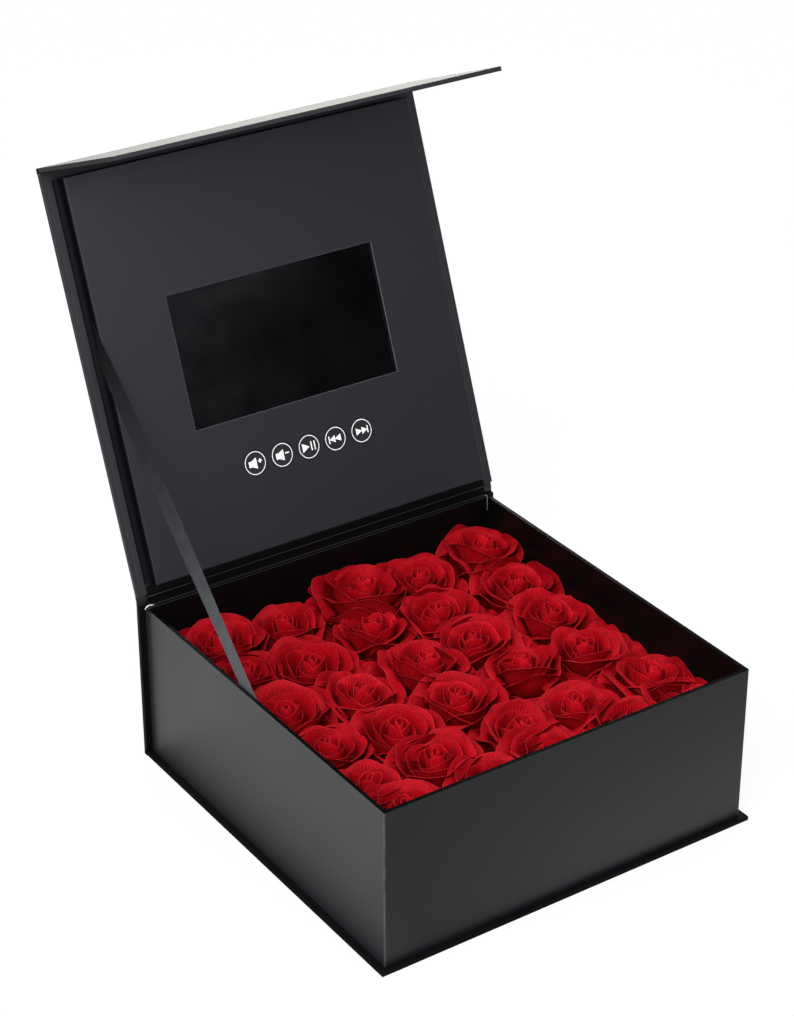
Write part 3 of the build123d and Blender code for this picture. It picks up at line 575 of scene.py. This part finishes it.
# rings of a bloom from the bud outwards: petals, rim radius, rim height, shoulder radius, belly radius, roll, ruffle,
# in mm
bloom_rings = (
    (3, 2.0, 39.5, 4.0, 5.0, 0.0, 0.35),
    (3, 5.6, 39.5, 6.6, 7.2, 0.9, 0.55),
    (2, 8.6, 33.5, 9.0, 8.8, 1.0, 0.70),
    (3, 14.8, 37.4, 15.2, 12.6, 2.4, 0.80),
    (3, 20.4, 38.4, 19.2, 14.8, 4.6, 1.10),
    (4, 25.2, 34.0, 22.8, 17.4, 6.4, 1.40),
    (5, 29.6, 25.0, 28.0, 21.0, 5.0, 1.70),
)


def rose_petals(chance, openness):
    """Petals of one bloom in millimetres, ring by ring; openness widens the rings, most of all the outer ones, and each
    petal wanders a little in turn, radius and height."""
    petals, spread = [], []
    for ring, (count, rim_radius, rim_height, shoulder, belly, roll, ruffle) in enumerate(bloom_rings):
        k, columns = ring / (len(bloom_rings) - 1), 13 + 2 * ring
        start = chance.uniform(0, 2 * pi)
        for index in range(count):
            wobble = chance.uniform(-1, 1, 7)
            wide = (1 + (openness - 1) * (0.4 + 0.6 * k)) * (1 + 0.06 * wobble[0])
            rim_level = rim_height + wobble[1] * (0.5 + 1.6 * k)
            petals.append(petal(
                turn=start + 2 * pi * (index + 0.12 * wobble[2]) / count, reach=pi / count * (1.25 + 0.3 * (1 - k)),
                outline=((1.5 + 2.0 * k, 9.0), (belly * wide, 12.0 + 4 * (1 - k)),
                         (shoulder * wide, rim_level - 6.0), (rim_radius * wide, rim_level)),
                droop=0.22 + 0.12 * k + 0.04 * wobble[3], roll=roll * (1 + 0.5 * wobble[4]), overlap=0.4 + 1.0 * k,
                ruffle=ruffle, phase=pi * wobble[5], peak=max(0.0, 0.4 + (1.2 + 1.4 * k) * wobble[6]),
                columns=columns,
            ))
            across, along = grid((0, 1), columns, (0, 1), petal_rows)
            spread.append(np.stack([across + ring, along], -1))
    return petals, spread


# how far each bloom stands off an even grid, in mm, from the back left to the front right
bloom_shifts = (
    ((11, 2), (6, -4), (8, 10), (3, -4), (4, 5)),
    ((4, 6), (-8, -6), (-4, 4), (-9, -2), (3, 1)),
    ((5, -3), (-5, -11), (-4, -4), (-8, 1), (-6, 2)),
    ((2, -8), (-5, -10), (-5, -5), (-1, -1), (-7, -3)),
    ((0, -8), (-1, -8), (3, -7), (-3, -11), (3, -7)),
    ((6, 8), (11, 2), (3, 9), (11, 2), (6, 4)),
)
column_pitch, row_pitch = 52.4, 44.1
# blooms with longer heads, by number from the back left: how much higher they stand, in mm
bloom_lifts = {0: 4.0, 2: 8.0, 3: 2.0, 4: 9.0}
# blooms that hang their heads: how far each leans to the front, in radians
bloom_nods = {0: 0.08, 2: 0.30, 3: 0.10, 4: 0.20, 9: 0.10}


# in mm: a petal's least distance from the tray's wall, and how much further in a foot stays; where the tallest tips
# begin to level off, and how much further they may rise; a head's height above its foot; how far apart two feet may be
# for their blooms to touch, and how far past half way a petal may reach
wall_gap, foot_gap = 0.9, 25.5
tip_level, tip_rise = 99.5, 1.4
head_height, touching, lap = 34.0, 62.0, 0.8


def bloom_places():
    """In plan, in mm: where the blooms' tops stand, which is an even grid plus each bloom's own shift, where their feet
    stand, and how far from the middle their petals may reach."""
    column, row = np.meshgrid(np.arange(5) - 2, 2.5 - np.arange(6))
    even = np.stack([column * column_pitch, row * row_pitch], -1)
    tops = (even + np.array(bloom_shifts, float)).reshape(-1, 2)
    limit = np.array([inner_width / mm / 2 - wall_gap, inner_depth / mm / 2 - wall_gap])
    return tops, np.clip(tops, -(limit - foot_gap), limit - foot_gap), limit


def place_roses():
    """Every bloom stands on the foam with its foot under its top, as far as the walls let it, and leans, a little by
    chance, so that the top comes near its own place. What passes half way to another bloom is pressed back by about
    half and lifted, and what would pass the tray's wall lies against it. The tallest tips level off, by an exponential,
    below the closed lid's panel."""
    chance = np.random.default_rng(7)
    tops, feet, limit = bloom_places()
    for number, (top, foot) in enumerate(zip(tops, feet)):
        openness = chance.uniform(0.84, 1.14)
        size = chance.uniform(0.96, 1.06)
        lean_out = (top - foot) / head_height + chance.normal(0, 0.10, 2)
        tilt = np.clip(lean_out, -0.32, 0.32) - (0.0, bloom_nods.get(number, 0.0))
        turn = Matrix.Rotation(tilt[0], 3, "Y") @ Matrix.Rotation(-tilt[1], 3, "X")
        turn = np.array(turn @ Matrix.Rotation(chance.uniform(0, 2 * pi), 3, "Z"))
        patches = []
        petals, spread = rose_petals(chance, openness)
        for patch in petals:
            points = (patch.reshape(-1, 3) * np.array([size, size, 1.0])) @ turn.T
            plan = points[:, :2] + foot
            for other in feet:
                gap = other - foot
                reach = sqrt(float(gap @ gap))
                if 1.0 < reach < touching:
                    way = gap / reach
                    past = np.maximum((plan - foot) @ way - (reach / 2 + lap), 0)
                    plan = plan - (past * 0.55)[:, None] * way
                    points[:, 2] += past * 0.45
            over = plan - np.clip(plan, -limit, limit)
            points[:, 2] += np.abs(over).sum(1)
            plan = plan - over * 0.97
            raised = bloom_lifts.get(number, 0.0) * np.clip(points[:, 2] / 30.0, 0, 1)
            height = points[:, 2] + raised + foam_top / mm
            tall = np.maximum(height - tip_level, 0)
            height = height - tall + tip_rise * (1 - np.exp(-tall / tip_rise))
            patches.append((np.column_stack([plan, height]) * mm).reshape(patch.shape))
        row, column = divmod(number, 5)
        bloom = thicken(build(f"Rose.{row + 1}.{column + 1}", patches, rose_petal, spread), petal_cloth)
        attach(bloom, "tray")
        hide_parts(f"rose_row_{6 - row}")


place_roses()


def rose_bed():
    """Lowest petals of all the blooms, gathered into one crumpled cloth: it lies low under each bloom, climbs by a
    smooth step with the distance from the nearest foot, is pleated by a sine of the angle about that foot, and dips
    where the skirts of two blooms meet."""
    _, feet, limit = bloom_places()
    x, y = grid((-limit[0], limit[0]), 132, (-limit[1], limit[1]), 132)
    apart = np.stack([x, y], -1)[:, :, None, :] - feet
    reach = np.sqrt((apart**2).sum(-1))
    nearest = reach.argmin(-1)
    ordered = np.sort(reach, -1)
    close = np.take_along_axis(apart, nearest[..., None, None], 2)[:, :, 0]
    angle = np.arctan2(close[..., 1], close[..., 0])
    climb = ease((ordered[..., 0] - 12) / 22)
    meeting = np.exp(-(((ordered[..., 1] - ordered[..., 0]) / 3) ** 2))
    z = 13 + 16 * climb + climb * np.sin(17 * angle + nearest) - 3.0 * meeting
    points = np.stack([x, y, z + foam_top / mm], -1) * mm
    lay = np.stack([5.0 + np.abs(angle) * 0.9, 0.45 + 0.45 * climb], -1)
    bed = thicken(build("Rose.skirts", [points], rose_petal, [lay]), skirt_cloth)
    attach(bed, "tray")


rose_bed()


# ---- ribbon stay
ribbon_width, ribbon_tab = 13.0 * mm, 28.0 * mm
ribbon_foot = np.array([-130.75 * mm, 15.0 * mm, rim_z])
ribbon_head = on_lid(-127.05 * mm, 172.0 * mm, board)


def ribbon():
    """A flat strip: its middle runs from the tab under the rim straight to the lid. Its width lies square to that in
    the YZ plane, and turns about the middle by an eased angle; across the width it is bowed by a fraction of a
    millimetre. Its lower end is cut square and its head along the lid."""
    run = ribbon_head - ribbon_foot
    length = sqrt(float(run @ run))
    way = run / length
    flat_way = np.array([0.0, way[1], way[2]]) / sqrt(way[1] ** 2 + way[2] ** 2)
    side_way = np.array([0.0, flat_way[2], -flat_way[1]])
    across, share = grid((-0.5, 0.5), 13, (0, 1), 90)
    # the head is cut along the lid, so the strip's edges end at different lengths
    skew = across * ribbon_width * float(side_way @ into_lid) / float(flat_way @ into_lid)
    travel = -ribbon_tab + (length + ribbon_tab - skew) * share
    middle = ribbon_foot + travel[..., None] * np.where(travel[..., None] < 0, flat_way, way)
    bow = 0.25 * mm * (1 - (2 * across) ** 2) * np.clip(travel / (20 * mm), 0, 1)
    up = np.clip(travel / length, 0, 1)
    twist = radians(14) * ease(up / 0.55) * ease((1 - up) / 0.2)
    flat, raised = across * ribbon_width * np.cos(twist), across * ribbon_width * np.sin(twist)
    points = middle + flat[..., None] * side_way + (bow - raised)[..., None] * right_hand
    lay = np.stack([across * ribbon_width / mm, travel / mm], -1)
    piece = thicken(build("Ribbon.stay", [points], ribbon_satin, [lay]), 0.3 * mm)
    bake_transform(piece)
    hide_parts("ribbon_stay")


ribbon()


# ---- paper folds
def strip(name, profile, left, right, material, thickness, columns=40):
    """A profile of (Y, Z) points carried straight across the box from left to right. Its face looks to the left of the
    profile's way as seen from the right, and turns over when left and right are swapped."""
    profile = np.array(profile)
    points = np.zeros((len(profile), columns, 3))
    points[..., 0] = np.linspace(left, right, columns)
    points[..., 1:] = profile[:, None, :]
    return thicken(build(name, [points], material), thickness, -1.0)


def rounded(corners, radius, steps=6):
    """(Y, Z) path through the corners with each inner corner replaced by a quadratic arc that starts radius away."""
    corners = [np.array(c, float) for c in corners]
    path = [corners[0]]
    for before, at, after in zip(corners, corners[1:], corners[2:]):
        start = at + (before - at) / np.linalg.norm(before - at) * radius
        end = at + (after - at) / np.linalg.norm(after - at) * radius
        share = np.linspace(0, 1, steps)[:, None]
        path.extend((1 - share) ** 2 * start + 2 * share * (1 - share) * at + share**2 * end)
    path.append(corners[-1])
    return path


def yz(point):
    return point[..., 1:]


def lid_fold():
    """Paper round the fold of the lid: the outer hinge strip, the lining over it from the tray's back wall to the lid,
    inked near black as painted shade, the lining's two raw edges, and three arched creases along it, paler than the
    lining as wear and as painted highlight."""
    outside = strip(
        "Lid.hinge.paper",
        rounded([(hinge_y, hinge_z - fold_leg), (hinge_y, hinge_z), yz(on_lid(0.0, fold_leg, 0.0))], 1.2 * mm),
        case_width / 2, -case_width / 2, case_paper, hinge_paper,
    )
    wall_in, wall_out, top = inner_depth / 2 - 0.22 * mm, tray_depth / 2 + 0.15 * mm, rim_z + 0.30 * mm
    over_rim = [(wall_in, rim_z - 11 * mm), (wall_in, top), (wall_out, top)]
    on_lid_side = [yz(on_lid(0.0, fold_leg, board + liner)), yz(on_lid(0.0, panel_near - 0.3 * mm, board + liner))]
    half = inner_width / 2 - 0.25 * mm
    # the lining over the fold is inked near black as painted shade
    inside = strip("Lid.fold.lining", rounded(over_rim + on_lid_side, 0.8 * mm), -half, half, lining_paper, 0.25 * mm)
    pieces = [(outside, "lid_hinge_strip"), (inside, "lid_hinge_liner")]
    # the raw left edge stands up as a small arch over the corner of the tray; the right one lies flat
    swell, share = grid((-0.5, 0.5), 3, (0, 1), 14)
    swell = swell * 0.75 * mm
    x = -133.7 * mm + 6.2 * mm * share + swell * (2 * share - 1)
    z = rim_z - 1.2 * mm * (1 - share) ** 2 + 5.0 * mm * share * (1 - share) * (1.5 - share) + swell
    arch = np.stack([x, np.full_like(x, tray_depth / 2 - 0.3 * mm), z], -1)
    hook = thicken(build("Lining.raw.edge.left", [arch], raw_edge), 0.5 * mm)
    proud = 0.12 * mm
    edge = [(wall_in - proud, rim_z - 10 * mm), (wall_in - proud, top + proud), (wall_out, top + proud)]
    edge = rounded(edge, 1.0 * mm)
    flat = strip("Lining.raw.edge.right", edge, half - 0.3 * mm, half + 0.3 * mm, cut_paper, 0.2 * mm, columns=3)
    pieces += [(hook, None), (flat, None)]
    bends = {
        "Crease.front": ((wall_in, top), 0.22 * mm),
        "Crease.back": ((wall_out, top), 0.50 * mm),
        "Crease.lid": (yz(on_lid(0.0, 1.9 * mm, board + liner)), 0.75 * mm),
    }
    # creases in paler paper: wear and painted highlight along the bends
    for name, ((y, z), reach) in bends.items():
        angle = np.linspace(radians(160), radians(20), 7)
        arc = np.stack([y + reach * np.cos(angle), z + 0.5 * reach * np.sin(angle)], -1)
        pieces.append((strip(name, arc, half, -half, crease_paper, 0.12 * mm, columns=60), None))
    end = tuple(on_lid(0.0, fold_leg, board / 2))
    for piece, node in pieces:
        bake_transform(piece)
        if node:
            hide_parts(node)


def flap_fold():
    """Outer paper round the fold between lid and flap."""
    path = rounded([yz(on_lid(0.0, lid_length - fold_leg, 0.0)), yz(fold), yz(on_flap(0.0, fold_leg, 0.0))], 1.2 * mm)
    piece = strip("Flap.hinge.paper", path, case_width / 2, -case_width / 2, case_paper, hinge_paper)
    start, end = on_lid(0.0, lid_length - fold_leg, board / 2), on_flap(0.0, fold_leg, board / 2)
    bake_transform(piece)
    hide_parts("flap_hinge_strip")


def tray_lining():
    """Dull lining on the four inside walls of the tray, inked near black as painted shade: flat sheets that stop just
    under the rim.
    """
    gap, low, high = 0.08 * mm, 12.0 * mm, rim_z - 0.15 * mm
    share, rise = grid((0, 1), 12, (0, 1), 8)
    patches = []
    for (x0, y0), (x1, y1) in round_rectangle(inner_width / 2 - gap, inner_depth / 2 - gap):
        patches.append(np.stack([x0 + (x1 - x0) * share, y0 + (y1 - y0) * share, low + (high - low) * rise], -1))
    piece = thicken(build("Tray.inner.lining", patches, lining_paper), 0.06 * mm)
    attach(piece, "tray")


def spine_cover():
    """Outer paper on the back of the spine board: one flat sheet."""
    x, z = grid((-case_width / 2, case_width / 2), 24, (0.3 * mm, hinge_z - fold_leg), 12)
    sheet = np.stack([x, np.full_like(x, hinge_y + 0.02 * mm), z], -1)
    piece = thicken(build("Spine.outer.paper", [sheet], case_paper), 0.10 * mm)
    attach(piece, "tray")


def lid_lining():
    """Lining sheet on the inside of the lid, set in a little from the lid's edges; its scuffed cut edge along each
    side, paler both from scuffs and as a painted edge highlight, which wanders by a product of two sines; and a dark
    strip of painted shade along the panel's two sides, a hollow quarter round from each side out over the lining, cut
    away at the charging socket."""
    reach, near, far, level = 134.7 * mm, panel_near + 1.0 * mm, 271.5 * mm, board + 0.10 * mm
    x, along = grid((-reach, reach), 24, (near, far), 24)
    sheet = thicken(build("Lid.inner.lining", [on_lid(x, along, level)], inner_paper), 0.14 * mm)
    edges = []
    for side in (-1, 1):
        x, along = np.meshgrid(side * (reach + np.array([-0.16, 0.16]) * mm * side), np.linspace(near, far, 90))
        wander = 0.05 * mm * np.sin(along * 310) * np.sin(along * 77 + side)
        edges.append(on_lid(x + wander, along, level + 0.09 * mm)[:, ::-1])
    # paler cut edges: scuffs and painted edge highlight
    cut = thicken(build("Lid.lining.cut.edge", edges, scuffed_and_highlit_edge), 0.05 * mm)
    sides = []
    first, last = panel_near + 0.6 * mm, panel_far - 0.6 * mm
    socket = float((np.mean([list(corner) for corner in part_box("charging_socket")], 0) - hinge) @ along_lid)
    gap, sweep, turned = 0.1 * mm, 4.2 * mm, np.linspace(0, pi / 2, 9)
    for side, start, end in ((-1, first, last), (1, first, socket - 7 * mm), (1, socket + 7 * mm, last)):
        x_path = side * (panel_width / 2 + gap + sweep * (1 - np.sin(turned)))
        n_path = level + gap + sweep * (1 - np.cos(turned))
        x, along = np.meshgrid(x_path, np.linspace(start, end, 30))
        sides.append(on_lid(x, along, n_path)[:, ::-side])
    # dark strip along the panel's sides: painted shade where the panel meets the lining
    painted_shade_strip = thicken(build("Panel.side.apron", sides, rail_paper), 0.12 * mm)
    for piece in (sheet, cut, painted_shade_strip):
        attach(piece, "lid")


def window_edge():
    """Cut edge of the panel's paper round the window: a narrow band along each side, just inside the opening."""
    inset = 1 - 0.04 * mm / (window_height / 2)
    share, depth = grid((0, 1), 20, (panel_level - 0.42 * mm, panel_level + 0.01 * mm), 2)
    patches = []
    for (x0, a0), (x1, a1) in round_rectangle(window_width / 2, window_height / 2):
        x, along = (x0 + (x1 - x0) * share) * inset, window_middle + (a0 + (a1 - a0) * share) * inset
        patches.append(on_lid(x, along, depth))
    piece = thicken(build("Window.cut.edge", patches, cut_paper), 0.05 * mm)
    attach(piece, "lid")


lid_fold()
flap_fold()
tray_lining()
spine_cover()
lid_lining()
window_edge()


# ---- printed marks on the buttons
def quad(corners):
    """Flat four-cornered patch, filled by blending its corners bilinearly; corners run round it in mm."""
    a, b, c, d = (np.array(corner, float) for corner in corners)
    u, v = (part[..., None] for part in grid((0, 1), 5, (0, 1), 5))
    return (1 - u) * (1 - v) * a + u * (1 - v) * b + u * v * c + (1 - u) * v * d


def box_mark(x, y, width, height):
    """Upright rectangle about (x, y)."""
    left, right, low, high = x - width / 2, x + width / 2, y - height / 2, y + height / 2
    return quad([(left, low), (right, low), (right, high), (left, high)])


def arrow_mark(base, tip, half):
    """Triangle from an upright base to its tip, as a quad with two corners at the tip."""
    return quad([(base, -half), (tip, -0.05), (tip, 0.05), (base, half)])


def ring_mark(inner, outer):
    """Annulus: a circle of points at the inner radius joined to one at the outer radius."""
    angle, radius = grid((0, 2 * pi), 65, (inner, outer), 3)
    return np.stack([radius * np.cos(angle), radius * np.sin(angle)], -1)


def horn_mark():
    """Small loudspeaker: a box and the horn that opens from it."""
    return [box_mark(-3.6, -0.2, 2.2, 3.8), quad([(-2.5, -2.1), (1.1, -3.9), (1.1, 3.5), (-2.5, 1.7)])]


def print_buttons():
    """A ring and a generic mark on each button, each shape a hair above the one before."""
    bar = 0.85
    marks = (
        horn_mark() + [box_mark(3.6, 0.8, 2.9, bar), box_mark(3.6, 0.8, bar, 2.9)],
        horn_mark() + [box_mark(3.7, 0.6, 3.0, bar)],
        [arrow_mark(-5.0, 0.2, 3.1), box_mark(1.9, 0.1, bar, 6.0), box_mark(4.3, 0.1, bar, 6.0)],
        [box_mark(-4.7, 0, 0.8, 4.8), arrow_mark(-0.2, -4.3, 2.4), arrow_mark(4.2, -0.3, 2.4)],
        [arrow_mark(-4.2, 0.3, 2.4), arrow_mark(0.2, 4.3, 2.4), box_mark(4.7, 0, 0.8, 4.8)],
    )
    for place, (button, shapes) in enumerate(zip(buttons, marks)):
        middle = (place - 2) * button_pitch
        patches = []
        for level, shape in enumerate([ring_mark(7.10, 7.60), *shapes]):
            x, along = middle + shape[..., 0] * mm, button_row + shape[..., 1] * mm
            patches.append(on_lid(x, along, panel_level + (0.03 + 0.004 * level) * mm))
        piece = thicken(build(f"Print.{button[7:]}", patches, white_ink), 0.02 * mm)
        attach(piece, button)


print_buttons()


# ---- floor, lamps and surroundings
def floor_material():
    """White floor: part of it is lit, so that it keeps the box's shadow, and part shines white to the lens and to
    gloss. Far from the box all of it shines white to the lens, so that no horizon shows. To gloss it is painted darker,
    as shadow and shade seen only in reflections, close to the box, far out in front and on the left, and in a band on
    the left."""
    material, made, shader, place = start_material("floor_white", Roughness=0.9)
    made.join(shader, Base_Color=made.ramp(made.noise(place, 4.0, 2.0), (0.3, 0.86), (0.7, 0.88)))
    rays = made.add("ShaderNodeLightPath")
    lens, gloss = rays["Is Camera Ray"], rays["Is Glossy Ray"]
    seen = made.sums("MAXIMUM", made.sums("MAXIMUM", lens, gloss), rays["Is Transmission Ray"])
    glow_near = 0.88
    reach = made.add("ShaderNodeVectorMath", {"operation": "LENGTH"}, _0=place)["Value"]
    outer = made.ramp(made.sums("MULTIPLY", reach, 0.5), (0.25, glow_near), (0.75, 1.0))
    far = made.sums("MULTIPLY", lens, outer)
    share = made.sums("MAXIMUM", made.sums("MULTIPLY", seen, glow_near), far)
    x, y, _ = made.split(place)
    ahead = made.sums("ABSOLUTE", y)
    clear = made.sums("MAXIMUM", made.sums("ABSOLUTE", x), ahead)
    # painted contact shadow in the floor's glow, seen only in reflections
    painted_contact_shadow = made.ramp(clear, (0.143, 0.0), (0.152, 0.38), (0.163, 0.66), (0.19, 0.86), (0.24, 1.0))
    painted_contact_shadow = made.sums("MAXIMUM", painted_contact_shadow, made.ramp(ahead, (0.139, 0.0), (0.141, 1.0)))
    from_left = made.ramp(
        made.sums("ADD", x, 0.5),
        (0.05, 0.08), (0.14, 0.30), (0.23, 1.02), (0.33, 1.12), (0.40, 0.36), (0.55, 0.84), (0.7, 1.0),
    )
    from_front = made.ramp(
        made.sums("MULTIPLY_ADD", y, 1 / 3, 1 / 6),
        (0.02, 0.05), (0.069, 0.13), (0.094, 0.42), (0.114, 0.75), (0.124, 0.95), (0.217, 1.0), (0.27, 0.85),
        (0.6, 1.0),
    )
    tint = made.mix(gloss, (1, 1, 1, 1), made.shade(from_left, from_front, painted_contact_shadow))
    glow = made.add("ShaderNodeEmission", Color=tint, Strength=1.0)[0]
    mixed = made.add("ShaderNodeMixShader", _0=share, _1=shader.outputs[0], _2=glow)[0]
    made.join(made.tree.nodes["Material Output"], Surface=mixed)
    return material


def lay_floor():
    """Flat square under the box."""
    x, y = grid((-8, 8), 9, (-8, 8), 9)
    floor = build("Floor", [np.stack([x, y, np.full_like(x, -0.0002)], -1)], floor_material())


def lamp(name, place, aim, size, power, colour=(1.0, 1.0, 1.0)):
    """Rectangular area light that looks from its place to its aim."""
    light = bpy.data.lights.new(name, "AREA")
    light.shape, light.size, light.size_y = "RECTANGLE", *size
    light.energy, light.color = power, colour
    holder = bpy.data.objects.new(name, light)
    bpy.context.scene.collection.objects.link(holder)
    away = (Vector(place) - Vector(aim)).normalized()
    holder.matrix_world = Matrix.Translation(place) @ away.to_track_quat("Z", "Y").to_matrix().to_4x4()


def surround():
    """World: white to the lens; to gloss a patchy studio, brightest some way above the horizon and on the left, dark
    low down, to the right in front and on the far wall, with a bright pane ahead; an even pale light to the rest."""
    world = bpy.data.worlds.new("Studio")
    bpy.context.scene.world = world
    world.use_nodes = True
    made = Nodes(world.node_tree)
    made.tree.nodes.clear()
    way = made.add("ShaderNodeTexCoord")["Generated"]
    rays = made.add("ShaderNodeLightPath")
    room = made.ramp(
        made.facing(way, Vector((0.8, -0.6, 0.05)).normalized()),
        (0.62, 1.25), (0.80, 0.9), (0.86, 0.44), (0.886, 0.27), (0.902, 0.19), (0.911, 0.08), (0.922, 0.03),
        (1.0, 0.02),
    )
    blot = made.noise(way, 34.0, 4.0, Roughness=0.6, Distortion=0.6)
    patchy = made.ramp(blot, (0.36, (0.25, 0.26, 0.30)), (0.52, (0.85, 0.88, 1.0)), (0.66, (1.5, 1.5, 1.5)))
    x, _, z = made.split(way)
    aside, above = made.sums("MULTIPLY_ADD", x, 0.5, 0.5), made.sums("MULTIPLY_ADD", z, 0.5, 0.5)
    from_left = made.ramp(aside, (0.0, 1.3), (0.5, 1.05), (0.72, 0.62), (0.82, 0.35), (1.0, 0.25))
    from_top = made.ramp(above, (0.50, 0.10), (0.56, 0.38), (0.60, 1.0), (0.65, 2.6), (0.72, 1.6))
    far_wall = made.ramp(made.facing(way, (0.49, 0.725, 0.485)), (0.55, 1.0), (0.80, 0.04))
    pane = made.ramp(made.facing(way, (0.35, -0.83, 0.435)), (0.94, 0.72), (0.968, 1.0), (0.987, 2.0), (1.0, 3.0))
    gloss = made.shade(room, patchy, from_left, from_top, far_wall, pane)
    plain = made.mix(rays["Is Glossy Ray"], (0.55, 0.55, 0.56, 1), gloss)
    seen = made.sums("MAXIMUM", rays["Is Camera Ray"], rays["Is Transmission Ray"])
    background = made.add("ShaderNodeBackground", Color=made.mix(seen, plain, (1, 1, 1, 1)), Strength=1.0)[0]
    made.join(made.tree.nodes.new("ShaderNodeOutputWorld"), Surface=background)


lay_floor()
surround()
lamp("Key.left", (-1.3, -0.9, 1.7), (0, 0, 0.1), (1.3, 1.3), 48.0)
lamp("Top.soft", (0.3, 0.2, 2.3), (0, 0, 0.1), (1.8, 1.8), 20.0)
lamp("Back.low", (1.35, 2.35, 0.75), (0, 0.2, 0.35), (1.4, 0.9), 23.0, (1.0, 0.96, 0.90))
